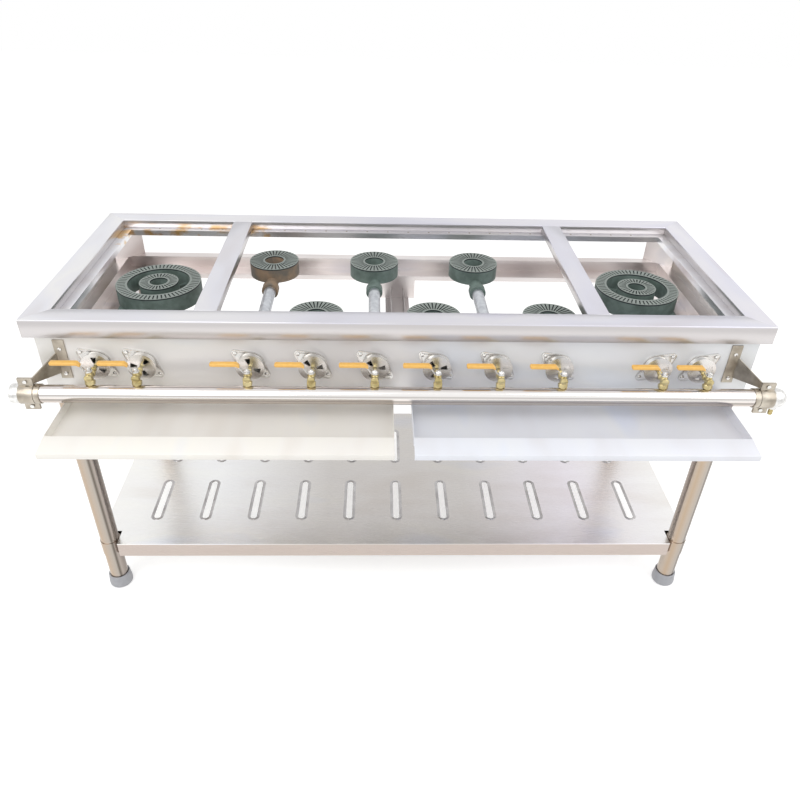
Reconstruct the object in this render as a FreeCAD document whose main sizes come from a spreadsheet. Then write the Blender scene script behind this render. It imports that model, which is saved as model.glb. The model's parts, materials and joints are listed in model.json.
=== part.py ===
import FreeCAD, Part
import Sketcher
import math
import os
from types import SimpleNamespace

# Commercial gas range: an open stainless frame on four tube legs, ten valves on one manifold
# pipe, six single and two double ring burners, two drip trays and a slotted lower shelf.
# Frame: X to the user's right, +Y towards the back, +Z up, millimetres.
# Origin: on the floor, in the middle of the footprint with the trays as far out as they stand.

SIZES = {
    # overall
    "over_length": 1750,
    "over_depth": 686,
    "rim_top": 914,
    "tray_reach": 224,
    # folded top rim and the ledge inside it
    "rim_width": 56,
    "apron_drop": 46,
    "apron_hem": 12,
    "rim_sheet": 1.5,
    "ledge_drop": 22,
    "ledge_width": 25,
    "ledge_lip": 16,
    "web_lap": 16,
    # cross bars
    "bar_offset": 465,
    "bar_width": 54,
    # body sheets
    "panel_setback": 18,
    "panel_sheet": 1.2,
    "body_drop": 190,
    "panel_flange": 20,
    # lower rails
    "rail_drop": 118,
    "rail_web": 32,
    "rail_top_flange": 30,
    "rail_foot": 55,
    "rail_lip": 14,
    "gusset_reach": 70,
    # legs and feet
    "leg_radius": 25.4,
    "leg_wall": 1.5,
    "leg_clearance": 0.3,
    "cap_floor": 5,
    "cap_height": 42,
    "cap_flare": 7.6,
    "cap_wall": 4.6,
    "cap_fit": 0.1,
    # lower shelf
    "shelf_top": 181,
    "shelf_skirt": 48,
    "shelf_sheet": 1.5,
    "shelf_overhang": 4.5,
    "shelf_slot_width": 19,
    "shelf_margin": 106,
    "sleeve_wall": 1.6,
    "sleeve_fit": 0.1,
    "set_screw_radius": 3.5,
    "set_screw_height": 4,
    # gas manifold
    "manifold_radius": 21.2,
    "manifold_wall": 3.2,
    "manifold_length": 1772,
    "tapping_radius": 6,
    "tapping_tilt": 19,
    "cap_piece_length": 20,
    "cap_piece_wall": 2.2,
    "cap_piece_lap": 3,
    "collar_length": 12,
    "collar_wall": 2.2,
    "clamp_width": 34,
    "clamp_sheet": 3,
    "clamp_lug": 18,
    "clamp_centre": 866,
    "elbow_radius": 24,
    "elbow_bend": 8,
    "outlet_wall": 4.5,
    "tail_radius": 6,
    "tail_bore": 3.5,
    "tail_length": 19,
    "tail_shank": 7,
    # brackets
    "bracket_centre": 804,
    "bracket_width": 26,
    "bracket_top": 60,
    "bracket_bottom": 164,
    "bracket_sheet": 3,
    "bracket_screw_high": 84,
    "bracket_screw_low": 150,
    "arm_high": 93,
    "arm_low": 150,
    "arm_tip_high": 122,
    "arm_tip_low": 136,
    "pipe_hole_clearance": 3,
    "screw_radius": 2,
    "screw_clearance": 0.2,
    "screw_head_radius": 5,
    "screw_head_height": 3,
    # valves
    "injector_drop": 121,
    "valve_forward": 42,
    "valve_stand": 21.7,
    "body_radius": 10,
    "body_half": 14,
    "hex_radius": 11.5,
    "hex_clearance": 0.8,
    "hex_height": 12,
    "nipple_depth": 4,
    "nipple_clearance": 0.1,
    "boss_radius": 6.5,
    "boss_height": 12,
    "stem_radius": 3,
    "stem_fit": 0.06,
    "stem_depth": 8,
    "lever_gap": 0.3,
    "hub_radius": 8,
    "lever_sheet": 1.6,
    "lever_width": 9,
    "lever_rise": 21,
    "lever_ramp": 12,
    "lever_length": 78,
    "grip_length": 62,
    "grip_width": 14,
    "grip_height": 8,
    "nut_radius": 6,
    "nut_height": 5,
    "injector_radius": 5,
    "injector_hex_radius": 7.5,
    "injector_hex_length": 9,
    "injector_bore": 1.2,
    # mixers and shutters
    "mixer_plate": 4,
    "mixer_radius": 33,
    "mixer_lug_radius": 9,
    "mixer_lug_reach": 46,
    "mixer_lug_angle": 40.5,
    "cup_radius": 31,
    "cup_wall": 2.5,
    "cup_length": 15,
    "cup_face": 2,
    "shutter_radius": 34,
    "shutter_sheet": 1.2,
    "shutter_gap": 0.3,
    "shutter_fit": 0.06,
    "port_inner": 10,
    "port_outer": 26,
    "port_half_angle": 15,
    # burners
    "burner_drop": 45,
    "pipe_radius": 15.9,
    "pipe_wall": 2.3,
    "pipe_fit": 0.1,
    "single_radius": 68,
    "single_hole": 26.5,
    "single_height": 40,
    "double_radius": 109,
    "double_gap_outer": 80,
    "double_gap_inner": 50.5,
    "double_hole": 23,
    "double_height": 45,
    "spoke_width": 12,
    "spoke_height": 14,
    "port_groove_width": 3.4,
    "port_groove_depth": 3.5,
    "groove_rim": 3,
    "groove_start": 5,
    "neck_radius": 17,
    "socket_radius": 22.5,
    "socket_length": 22,
    "socket_depth": 16,
    "back_row": 454,
    "front_row": 131,
    "double_row": 305,
    "double_offset": 641,
    "double_neck_drop": 11,
    "first_valve": 363,
    "valve_pitch": 148,
    "inner_feed": 617,
    "outer_feed": 724,
    "back_burner_pitch": 283,
    "back_burner_middle": 71,
    "front_burner_pitch": 291,
    "front_burner_middle": 78,
    # drip trays and their runners
    "tray_drop": 197,
    "tray_height": 24,
    "tray_sheet": 1.2,
    "tray_inner": 22,
    "tray_leg_gap": 5,
    "tray_depth": 560,
    "tray_lip": 52,
    "tray_lip_fall": 9,
    "tray_hem": 14,
    "runner_sheet": 1.5,
    "runner_gap": 0.8,
    "runner_foot": 14,
    "runner_length": 545,
    "channel_half": 20,
    "hanger_half": 54,
}

# Air-shutter settings, left to right: the angle of the first of the three air ports, and
# how far each shutter stands turned from its ports.
PORT_ANGLES = [90, 48, 99, 10, 8, 12, 90, 90, 90, 90]
SHUTTER_TURNS = [0, 0, 0, 0, 0, 0, 52, 50, 54, 48]

PORT_COUNT = 3
SLOT_COUNT = 11
SPOKE_COUNT = 4
SINGLE_GROOVES = 36
OUTER_GROOVES = 60
INNER_GROOVES = 30
BACK_VALVES = (2, 4, 6)
FRONT_VALVES = (3, 5, 7)
SIDES = {"left": -1, "right": 1}
X_AXIS = FreeCAD.Vector(1, 0, 0)
Y_AXIS = FreeCAD.Vector(0, 1, 0)
Z_AXIS = FreeCAD.Vector(0, 0, 1)

doc = FreeCAD.newDocument("gas_range")
sheet = doc.addObject("Spreadsheet::Sheet", "Sizes")
nodes = []


class Size:
    """A number together with the expression that ties it to the sheet."""

    def __init__(self, value, text):
        self.value = value
        self.text = text

    def __add__(self, other):
        other = sized(other)
        return Size(self.value + other.value, f"({self.text} + {other.text})")

    def __sub__(self, other):
        other = sized(other)
        return Size(self.value - other.value, f"({self.text} - {other.text})")

    def __mul__(self, other):
        other = sized(other)
        return Size(self.value * other.value, f"{self.text} * {other.text}")

    def __truediv__(self, other):
        other = sized(other)
        return Size(self.value / other.value, f"{self.text} / ({other.text})")

    def __neg__(self):
        return Size(-self.value, f"(-1 * {self.text})")

    def __radd__(self, other):
        return sized(other) + self

    def __rsub__(self, other):
        return sized(other) - self

    def __rmul__(self, other):
        return sized(other) * self


def sized(number):
    if isinstance(number, Size):
        return number
    return Size(float(number), f"({float(number)})")


def sine(angle):
    angle = sized(angle)
    return Size(math.sin(math.radians(angle.value)), f"sin({angle.text})")


def cosine(angle):
    angle = sized(angle)
    return Size(math.cos(math.radians(angle.value)), f"cos({angle.text})")


def length_of(*parts):
    value = math.sqrt(sum(part.value ** 2 for part in parts))
    text = " + ".join(f"({part.text}) ^ 2" for part in parts)
    return Size(value, f"sqrt({text})")


def fill_sheet():
    aliases = {}
    for row, (name, value) in enumerate(SIZES.items(), start=1):
        sheet.set(f"A{row}", name)
        sheet.set(f"B{row}", str(value))
        sheet.setAlias(f"B{row}", name)
        aliases[name] = Size(float(value), f"Sizes.{name}")
    doc.recompute()
    return SimpleNamespace(**aliases)


size = fill_sheet()
top = size.rim_top
front = (size.tray_reach - size.over_depth) / 2
back = front + size.over_depth
panel_face = front + size.panel_setback
panel_inside = panel_face + size.panel_sheet
half_body = size.over_length / 2 - size.panel_setback
leg_inset = size.panel_setback + size.panel_sheet + size.leg_clearance + size.leg_radius
leg_x = size.over_length / 2 - leg_inset
injector_z = top - size.injector_drop
valve_y = panel_face - size.panel_setback - size.valve_forward
valve_rise = size.manifold_radius + size.valve_stand
hex_start = size.manifold_radius + size.hex_clearance
manifold_y = valve_y - valve_rise * sine(size.tapping_tilt)
manifold_z = injector_z - valve_rise * cosine(size.tapping_tilt)
cup_front = panel_face - size.mixer_plate - size.cup_length
rail_underside = top - size.rail_drop - size.rail_web - size.rim_sheet
tray_outer = leg_x - size.leg_radius - size.tray_leg_gap
tray_top = top - size.tray_drop
tray_bottom = tray_top - size.tray_height


def bind(feature, **properties):
    for name, number in properties.items():
        number = sized(number)
        setattr(feature, name, number.value)
        feature.setExpression(name, number.text)
    return feature


def place(feature, x=0, y=0, z=0, axis=Z_AXIS, angle=0):
    x, y, z = sized(x), sized(y), sized(z)
    turn = sized(angle)
    base = FreeCAD.Vector(x.value, y.value, z.value)
    feature.Placement = FreeCAD.Placement(base, FreeCAD.Rotation(axis, turn.value))
    feature.setExpression("Placement.Base.x", x.text)
    feature.setExpression("Placement.Base.y", y.text)
    feature.setExpression("Placement.Base.z", z.text)
    if isinstance(angle, Size):
        feature.setExpression("Placement.Rotation.Angle", turn.text)
    return feature


def add(kind, name):
    return doc.addObject(kind, name)


def box(name, length, width, height, x, y, z, axis=Z_AXIS, angle=0):
    feature = bind(add("Part::Box", name), Length=length, Width=width, Height=height)
    return place(feature, x, y, z, axis, angle)


def rod(name, radius, height, x, y, z, axis=Z_AXIS, angle=0):
    feature = bind(add("Part::Cylinder", name), Radius=radius, Height=height)
    return place(feature, x, y, z, axis, angle)


def rod_back(name, radius, height, x, y, z):
    """A rod that runs along +Y from the point."""
    return rod(name, radius, height, x, y, z, X_AXIS, -90)


def rod_right(name, radius, height, x, y, z):
    """A rod that runs along +X from the point."""
    return rod(name, radius, height, x, y, z, Y_AXIS, 90)


def aimed_rod(name, radius, start, end, begin, finish):
    """A rod on the line from start to end, between two distances from start."""
    run = [b - a for a, b in zip(start, end)]
    whole = length_of(*run)
    base = [a + step * begin / whole for a, step in zip(start, run)]
    feature = bind(add("Part::Cylinder", name), Radius=radius, Height=finish - begin)
    place(feature, *base)
    flat = length_of(run[0], run[1])
    lean = math.degrees(math.atan2(flat.value, run[2].value))
    axis = FreeCAD.Vector(-run[1].value, run[0].value, 0)
    feature.Placement.Rotation = FreeCAD.Rotation(axis, lean)
    feature.setExpression("Placement.Rotation.Axis.x", (-run[1]).text)
    feature.setExpression("Placement.Rotation.Axis.y", run[0].text)
    feature.setExpression("Placement.Rotation.Angle", f"atan2({flat.text}; {run[2].text})")
    return feature


def hexagon(name, radius, height, x, y, z, axis=Z_AXIS, angle=0):
    feature = bind(add("Part::Prism", name), Circumradius=radius, Height=height)
    feature.Polygon = 6
    return place(feature, x, y, z, axis, angle)


def fuse(name, features):
    feature = add("Part::MultiFuse", name)
    feature.Shapes = features
    return feature


def cut(name, base, tools):
    feature = add("Part::Cut", name)
    feature.Base = base
    feature.Tool = tools[0] if len(tools) == 1 else fuse(name + "_tools", tools)
    return feature


def common(name, base, tool):
    feature = add("Part::Common", name)
    feature.Base = base
    feature.Tool = tool
    return feature


def node(label, features):
    """Registers one sub-part; several separate pieces become a group of solids."""
    feature = features[0]
    if len(features) > 1:
        feature = add("Part::Compound", "group_" + label)
        feature.Links = features
    feature.Label = label
    nodes.append(feature)
    return feature


def new_body(name):
    return add("PartDesign::Body", name)


def origin_feature(body, role):
    for feature in body.Origin.OriginFeatures:
        if feature.Role == role:
            return feature
    raise ValueError(role)


def new_sketch(body, name, role):
    sketch = body.newObject("Sketcher::SketchObject", name)
    sketch.AttachmentSupport = [(origin_feature(body, role), "")]
    sketch.MapMode = "FlatFace"
    return sketch


def pin_distance(sketch, kind, geometry, point, number):
    """Ties one coordinate of a point, measured from the sketch's origin, to the sheet."""
    number = sized(number)
    if number.value < 0:
        number = -number
        rule = Sketcher.Constraint(kind, geometry, point, -1, 1, number.value)
    else:
        rule = Sketcher.Constraint(kind, -1, 1, geometry, point, number.value)
    index = sketch.addConstraint(rule)
    sketch.setExpression(f"Constraints[{index}]", number.text)


def pin_point(sketch, geometry, point, x, y):
    pin_distance(sketch, "DistanceX", geometry, point, x)
    pin_distance(sketch, "DistanceY", geometry, point, y)


def draw_outline(sketch, points):
    """Draws a closed outline of straight lines through the points."""
    places = [FreeCAD.Vector(sized(x).value, sized(y).value, 0) for x, y in points]
    first = sketch.GeometryCount
    for index, start in enumerate(places):
        end = places[(index + 1) % len(places)]
        sketch.addGeometry(Part.LineSegment(start, end), False)
    for index, (x, y) in enumerate(points):
        following = first + (index + 1) % len(points)
        sketch.addConstraint(Sketcher.Constraint("Coincident", first + index, 2, following, 1))
        pin_point(sketch, first + index, 1, x, y)


def draw_circle(sketch, x, y, radius):
    centre = FreeCAD.Vector(sized(x).value, sized(y).value, 0)
    index = sketch.addGeometry(Part.Circle(centre, Z_AXIS, sized(radius).value), False)
    pin_point(sketch, index, 3, x, y)
    rule = sketch.addConstraint(Sketcher.Constraint("Radius", index, sized(radius).value))
    sketch.setExpression(f"Constraints[{rule}]", sized(radius).text)


def pad(body, name, sketch, length, middle=False):
    feature = body.newObject("PartDesign::Pad", name)
    feature.Profile = sketch
    feature.Midplane = middle
    return bind(feature, Length=length)


def pocket(body, name, sketch, depth, reverse=False):
    feature = body.newObject("PartDesign::Pocket", name)
    feature.Profile = sketch
    feature.Reversed = reverse
    return bind(feature, Length=depth)


def polar_pattern(body, name, feature, role, count):
    pattern = body.newObject("PartDesign::PolarPattern", name)
    pattern.Originals = [feature]
    pattern.Axis = (origin_feature(body, role), [""])
    pattern.Angle = 360
    pattern.Occurrences = count
    body.Tip = pattern
    return pattern


def mitred_member(name, section, run, depth):
    """A folded sheet along X with its outer face on Y = 0, mitred at both ends."""
    body = new_body(name)
    profile = new_sketch(body, name + "_section", "YZ_Plane")
    draw_outline(profile, section)
    pad(body, name + "_fold", profile, run, middle=True)
    mitres = new_sketch(body, name + "_mitres", "XY_Plane")
    for side in (-1, 1):
        end = run / 2 * side
        draw_outline(mitres, [(end, 0), (end - depth * side, depth), (end, depth)])
    pocket(body, name + "_cut", mitres, depth * 4)
    return body


def ring_of_members(label, section, sides):
    """Stands the same folded section along the named sides of the rim."""
    members = {}
    half_length = size.over_length / 2
    middle = front + size.over_depth / 2
    stands = {
        "front": (0, front, 0, size.over_length),
        "back": (0, back, 180, size.over_length),
        "left": (-half_length, middle, -90, size.over_depth),
        "right": (half_length, middle, 90, size.over_depth),
    }
    depth = section_depth(section)
    for side in sides:
        x, y, angle, run = stands[side]
        member = mitred_member(f"{label}_{side}", section, run, depth)
        members[side] = place(member, x, y, top, Z_AXIS, angle)
    return members


def section_depth(section):
    return max((sized(y) for y, _ in section), key=lambda number: number.value)


def top_rim():
    sheet_gauge = size.rim_sheet
    inner = size.rim_width
    drop = size.apron_drop
    hem = size.apron_hem
    web = size.ledge_drop
    section = [
        (0, 0), (inner, 0), (inner, -web), (inner - sheet_gauge, -web),
        (inner - sheet_gauge, -sheet_gauge), (sheet_gauge, -sheet_gauge),
        (sheet_gauge, sheet_gauge - drop), (hem, sheet_gauge - drop), (hem, -drop), (0, -drop),
    ]
    members = ring_of_members("top_rim", section, ("front", "back", "left", "right"))
    for side, member in members.items():
        node("top_rim_" + side, [member])


def grate_ledges():
    gauge = size.rim_sheet
    behind = size.rim_width - gauge * 2
    edge = size.rim_width + size.ledge_width
    level = -size.ledge_drop
    section = [
        (behind, level + size.web_lap), (behind + gauge, level + size.web_lap),
        (behind + gauge, level), (edge, level), (edge, level - size.ledge_lip),
        (edge - gauge, level - size.ledge_lip), (edge - gauge, level - gauge),
        (behind, level - gauge),
    ]
    members = ring_of_members("grate_ledge", section, ("front", "back", "left", "right"))
    node("grate_ledges", list(members.values()))


def cross_bars():
    bars = []
    length = size.over_depth - size.rim_width * 2
    half = size.bar_width / 2
    gauge = size.rim_sheet
    for side, sign in SIDES.items():
        body = new_body("cross_bar_" + side)
        profile = new_sketch(body, "bar_section_" + side, "XZ_Plane")
        draw_outline(profile, [
            (-half, 0), (half, 0), (half, -size.ledge_drop), (half - gauge, -size.ledge_drop),
            (half - gauge, -gauge), (gauge - half, -gauge), (gauge - half, -size.ledge_drop),
            (-half, -size.ledge_drop),
        ])
        pad(body, "bar_fold_" + side, profile, length, middle=True)
        bars.append(place(body, size.bar_offset * sign, front + size.over_depth / 2, top))
    node("cross_bars", bars)


def valve_places():
    """The ten valve positions along X, left to right."""
    row = [size.valve_pitch * step - size.first_valve for step in range(6)]
    return [-size.outer_feed, -size.inner_feed, *row, size.inner_feed, size.outer_feed]


def screw_turns(index):
    """The two lug directions of a mixer, mirrored on the right-hand pair."""
    lean = 180 - size.mixer_lug_angle if index < 8 else size.mixer_lug_angle
    return [lean, lean + 180]


def lug_places(index, x):
    reach = size.mixer_lug_reach
    return [(x + reach * cosine(turn), injector_z + reach * sine(turn))
            for turn in screw_turns(index)]


def bracket_screw_places():
    return [(size.bracket_centre * sign, top - drop)
            for sign in SIDES.values()
            for drop in (size.bracket_screw_high, size.bracket_screw_low)]


def control_panel():
    height = size.body_drop - size.rim_sheet
    bottom = top - size.body_drop
    length = half_body * 2
    skin = box("panel_skin", length, size.panel_sheet, height, -half_body, panel_face, bottom)
    fold_half = leg_x - size.leg_radius - size.leg_clearance
    fold = box("panel_fold", fold_half * 2, size.panel_flange, size.panel_sheet,
               -fold_half, panel_face, bottom)
    holes = []
    hole = size.screw_radius + size.screw_clearance
    for index, x in enumerate(valve_places()):
        bore = size.pipe_radius + size.pipe_hole_clearance
        holes.append(rod_back(f"pipe_hole_{index}", bore, size.panel_flange,
                              x, panel_face - 5, injector_z))
        for turn, (lug_x, lug_z) in enumerate(lug_places(index, x)):
            holes.append(rod_back(f"lug_hole_{index}_{turn}", hole, 10,
                                  lug_x, panel_face - 5, lug_z))
    for index, (x, z) in enumerate(bracket_screw_places()):
        holes.append(rod_back(f"bracket_hole_{index}", hole, 10, x, panel_face - 5, z))
    node("control_panel", [cut("panel", fuse("panel_sheet_metal", [skin, fold]), holes)])


def side_panels():
    depth = size.over_depth - size.panel_setback * 2 - size.panel_sheet
    height = size.body_drop - size.rim_sheet
    for side, sign in SIDES.items():
        x = half_body - size.panel_sheet if sign > 0 else -half_body
        node("side_panel_" + side, [box("side_skin_" + side, size.panel_sheet, depth, height,
                                        x, panel_inside, top - size.body_drop)])


def lower_rails():
    gauge = size.rim_sheet
    outer = size.panel_setback + size.panel_sheet
    web = outer + size.rail_top_flange
    toe = web + size.rail_foot
    high = -size.rail_drop
    low = high - size.rail_web
    section = [
        (outer, high), (web, high), (web, low), (toe, low), (toe, low - size.rail_lip),
        (toe - gauge, low - size.rail_lip), (toe - gauge, low - gauge), (web - gauge, low - gauge),
        (web - gauge, high - gauge), (outer, high - gauge),
    ]
    members = ring_of_members("lower_rail", section, ("back", "left", "right"))
    node("lower_rails", list(members.values()))


def corner_gussets():
    gauge = size.rim_sheet
    from_corner = size.gusset_reach * cosine(45)
    length = (from_corner - gauge / 2) * 2
    height = size.rail_drop - size.ledge_drop - gauge
    inset = size.panel_setback + size.panel_sheet
    plates = []
    for index, (sign_x, sign_y) in enumerate(((-1, -1), (1, -1), (-1, 1), (1, 1))):
        x = (half_body - size.panel_sheet - size.gusset_reach / 2) * sign_x
        y = front + inset + size.gusset_reach / 2
        if sign_y > 0:
            y = back - inset - size.gusset_reach / 2
        angle = -45 if sign_x * sign_y > 0 else 45
        plate = bind(add("Part::Box", f"gusset_{index}"),
                     Length=length, Width=gauge, Height=height)
        turn = FreeCAD.Rotation(Z_AXIS, angle)
        half_run = length / 2
        half_gauge = gauge / 2
        slope = 1 if angle > 0 else -1
        start_x = x - half_run * cosine(45) + half_gauge * cosine(45) * slope
        start_y = y - half_run * cosine(45) * slope - half_gauge * cosine(45)
        place(plate, start_x, start_y, top - size.rail_drop, Z_AXIS, angle)
        plate.Placement.Rotation = turn
        plates.append(plate)
    node("corner_gussets", plates)


def leg_places():
    return [(leg_x * sign, y)
            for y in (front + leg_inset, back - leg_inset)
            for sign in SIDES.values()]


def legs():
    tubes = []
    height = rail_underside - size.cap_floor
    for index, (x, y) in enumerate(leg_places()):
        outside = rod(f"leg_{index}", size.leg_radius, height, x, y, size.cap_floor)
        inside = rod(f"leg_bore_{index}", size.leg_radius - size.leg_wall, height,
                     x, y, size.cap_floor)
        tubes.append(cut(f"leg_tube_{index}", outside, [inside]))
    node("legs", tubes)


def foot_caps():
    caps = []
    bore = size.leg_radius + size.cap_fit
    skirt = size.leg_radius + size.cap_flare
    for index, (x, y) in enumerate(leg_places()):
        body = new_body(f"foot_cap_{index}")
        profile = new_sketch(body, f"cap_profile_{index}", "XZ_Plane")
        draw_outline(profile, [
            (0, 0), (skirt - 4, 0), (skirt, 5), (skirt, 13),
            (size.leg_radius + size.cap_wall, size.cap_height), (bore, size.cap_height),
            (bore, size.cap_floor), (0, size.cap_floor),
        ])
        turned = body.newObject("PartDesign::Revolution", f"cap_turned_{index}")
        turned.Profile = profile
        turned.ReferenceAxis = (profile, ["V_Axis"])
        turned.Angle = 360
        caps.append(place(body, x, y, 0))
    node("foot_caps", caps)


def lower_shelf():
    gauge = size.shelf_sheet
    sleeve = size.leg_radius + size.sleeve_fit + size.sleeve_wall
    half_length = leg_x + size.leg_radius + size.shelf_overhang
    half_depth = size.over_depth / 2 - leg_inset + size.leg_radius
    notch = size.leg_radius + size.shelf_overhang + sleeve + size.leg_clearance
    notch_depth_trim = size.shelf_overhang
    body = new_body("shelf")
    plate = new_sketch(body, "shelf_outline", "XY_Plane")
    outline = shelf_outline(half_length, half_depth, notch, notch - notch_depth_trim)
    draw_outline(plate, outline)
    pad(body, "shelf_block", plate, size.shelf_skirt)
    hollow = new_sketch(body, "shelf_hollow", "XY_Plane")
    draw_outline(hollow, shelf_outline(half_length - gauge, half_depth - gauge,
                                       notch, notch - notch_depth_trim))
    pocket(body, "shelf_underside", hollow, size.shelf_skirt - gauge, reverse=True)
    pitch = half_length * 2 / (SLOT_COUNT + 1)
    slot_length = (half_depth * 2 - size.shelf_margin * 3) / 2
    for row in (0, 1):
        start_y = size.shelf_margin - half_depth + (slot_length + size.shelf_margin) * row
        slot = new_sketch(body, f"shelf_slot_{row}", "XY_Plane")
        draw_slot(slot, pitch * (-(SLOT_COUNT - 1) / 2), start_y, slot_length)
        opening = pocket(body, f"shelf_opening_{row}", slot, size.shelf_skirt * 2, reverse=True)
        pattern = body.newObject("PartDesign::LinearPattern", f"shelf_slots_{row}")
        pattern.Originals = [opening]
        pattern.Direction = (slot, ["H_Axis"])
        bind(pattern, Length=pitch * (SLOT_COUNT - 1))
        pattern.Occurrences = SLOT_COUNT
        body.Tip = pattern
    place(body, 0, front + size.over_depth / 2, size.shelf_top - size.shelf_skirt)
    node("lower_shelf", [body])


def shelf_outline(half_length, half_depth, notch_x, notch_y):
    points = []
    for sign_x, sign_y in ((-1, -1), (1, -1), (1, 1), (-1, 1)):
        outer_x, outer_y = half_length * sign_x, half_depth * sign_y
        inner_x, inner_y = (half_length - notch_x) * sign_x, (half_depth - notch_y) * sign_y
        corner = [(outer_x, inner_y), (inner_x, inner_y), (inner_x, outer_y)]
        if sign_x * sign_y < 0:
            corner.reverse()
        points += corner
    return points


def draw_slot(sketch, x, start_y, length):
    """A round-ended slot along the sketch's vertical direction."""
    radius = size.shelf_slot_width / 2
    low, high = start_y + radius, start_y + length - radius
    left, right = x - radius, x + radius
    spots = {
        "low": FreeCAD.Vector(x.value, low.value, 0),
        "high": FreeCAD.Vector(x.value, high.value, 0),
    }
    top_arc = Part.ArcOfCircle(Part.Circle(spots["high"], Z_AXIS, radius.value), 0, math.pi)
    low_arc = Part.ArcOfCircle(Part.Circle(spots["low"], Z_AXIS, radius.value),
                               math.pi, 2 * math.pi)
    left_line = Part.LineSegment(FreeCAD.Vector(left.value, high.value, 0),
                                 FreeCAD.Vector(left.value, low.value, 0))
    right_line = Part.LineSegment(FreeCAD.Vector(right.value, low.value, 0),
                                  FreeCAD.Vector(right.value, high.value, 0))
    upper = sketch.addGeometry(top_arc, False)
    lower = sketch.addGeometry(low_arc, False)
    port = sketch.addGeometry(left_line, False)
    starboard = sketch.addGeometry(right_line, False)
    for pair in ((upper, 2, port, 1), (port, 2, lower, 1),
                 (lower, 2, starboard, 1), (starboard, 2, upper, 1)):
        sketch.addConstraint(Sketcher.Constraint("Coincident", *pair))
    pin_point(sketch, port, 1, left, high)
    pin_point(sketch, port, 2, left, low)
    pin_point(sketch, starboard, 1, right, low)
    pin_point(sketch, starboard, 2, right, high)
    for arc, level in ((upper, high), (lower, low)):
        pin_distance(sketch, "DistanceY", arc, 3, level)


def shelf_sleeves():
    sleeves = []
    screws = []
    bore = size.leg_radius + size.sleeve_fit
    outside = bore + size.sleeve_wall
    bottom = size.shelf_top - size.shelf_skirt
    for index, (x, y) in enumerate(leg_places()):
        tube = rod(f"sleeve_{index}", outside, size.shelf_skirt, x, y, bottom)
        inside = rod(f"sleeve_bore_{index}", bore, size.shelf_skirt, x, y, bottom)
        sleeves.append(cut(f"sleeve_tube_{index}", tube, [inside]))
        side = 1 if x.value > 0 else -1
        start = outside if side > 0 else -outside - size.set_screw_height
        screws.append(rod_right(f"set_screw_{index}", size.set_screw_radius,
                                size.set_screw_height, x + start, y,
                                size.shelf_top - size.shelf_skirt / 2))
    node("shelf_sleeves", sleeves)
    node("set_screws", screws)


def valve_line(distance):
    """A point on the tilted line from the manifold axis to the valve centre."""
    return (manifold_y + distance * sine(size.tapping_tilt),
            manifold_z + distance * cosine(size.tapping_tilt))


def tilted(kind, name, radius, height, x, distance):
    y, z = valve_line(distance)
    return kind(name, radius, height, x, y, z, X_AXIS, -size.tapping_tilt)


def manifold_pipe():
    start = -size.manifold_length / 2
    outside = rod_right("pipe_outside", size.manifold_radius, size.manifold_length,
                        start, manifold_y, manifold_z)
    inside = rod_right("pipe_inside", size.manifold_radius - size.manifold_wall,
                       size.manifold_length, start, manifold_y, manifold_z)
    tappings = [tilted(rod, f"tapping_{index}", size.tapping_radius, size.manifold_radius * 2,
                       x, size.manifold_radius / 2)
                for index, x in enumerate(valve_places())]
    node("manifold_pipe", [cut("pipe", outside, [inside, *tappings])])


def pipe_end_cap():
    bore = size.manifold_radius + size.pipe_fit
    start = -size.manifold_length / 2 + size.cap_piece_lap - size.cap_piece_length
    shell = rod_right("cap_shell", bore + size.cap_piece_wall, size.cap_piece_length,
                      start, manifold_y, manifold_z)
    hollow = rod_right("cap_hollow", bore, size.cap_piece_lap,
                       -size.manifold_length / 2, manifold_y, manifold_z)
    node("pipe_end_cap", [cut("end_cap", shell, [hollow])])


def pipe_collars():
    rings = []
    bore = size.manifold_radius + size.pipe_fit
    reach = size.clamp_centre - size.clamp_width / 2 - 1
    for side, sign in SIDES.items():
        start = reach - size.collar_length if sign > 0 else -reach
        ring = rod_right("collar_" + side, bore + size.collar_wall, size.collar_length,
                         start, manifold_y, manifold_z)
        hole = rod_right("collar_bore_" + side, bore, size.collar_length,
                         start, manifold_y, manifold_z)
        rings.append(cut("collar_ring_" + side, ring, [hole]))
    node("pipe_collars", rings)


def half_strap(name, sign, start_x):
    """Half a pipe clamp: sign -1 is the half in front of the pipe, 1 the half behind."""
    bore = size.manifold_radius + size.pipe_fit
    outside = bore + size.clamp_sheet
    reach = outside + size.clamp_lug
    band = rod_right(name + "_band", outside, size.clamp_width, start_x, manifold_y, manifold_z)
    side_y = manifold_y if sign > 0 else manifold_y - outside
    half = box(name + "_half", size.clamp_width, outside, outside * 2,
               start_x, side_y, manifold_z - outside)
    lug_y = manifold_y if sign > 0 else manifold_y - size.clamp_sheet
    upper = box(name + "_upper", size.clamp_width, size.clamp_sheet, reach,
                start_x, lug_y, manifold_z)
    lower = box(name + "_lower", size.clamp_width, size.clamp_sheet, reach,
                start_x, lug_y, manifold_z - reach)
    hole = rod_right(name + "_bore", bore, size.clamp_width, start_x, manifold_y, manifold_z)
    strap = fuse(name + "_metal", [common(name + "_arch", band, half), upper, lower])
    return cut(name + "_strap", strap, [hole, *clamp_screw_holes(name, start_x)])


def clamp_screw_places(start_x):
    reach = size.manifold_radius + size.pipe_fit + size.clamp_sheet + size.clamp_lug / 2
    middle = start_x + size.clamp_width / 2
    return [(middle, manifold_z + reach), (middle, manifold_z - reach)]


def clamp_screw_holes(name, start_x):
    hole = size.screw_radius + size.screw_clearance
    return [rod_back(f"{name}_hole_{index}", hole, size.clamp_sheet * 2,
                     x, manifold_y - size.clamp_sheet, z)
            for index, (x, z) in enumerate(clamp_screw_places(start_x))]


def clamp_start(sign):
    return size.clamp_centre * sign - size.clamp_width / 2


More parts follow.
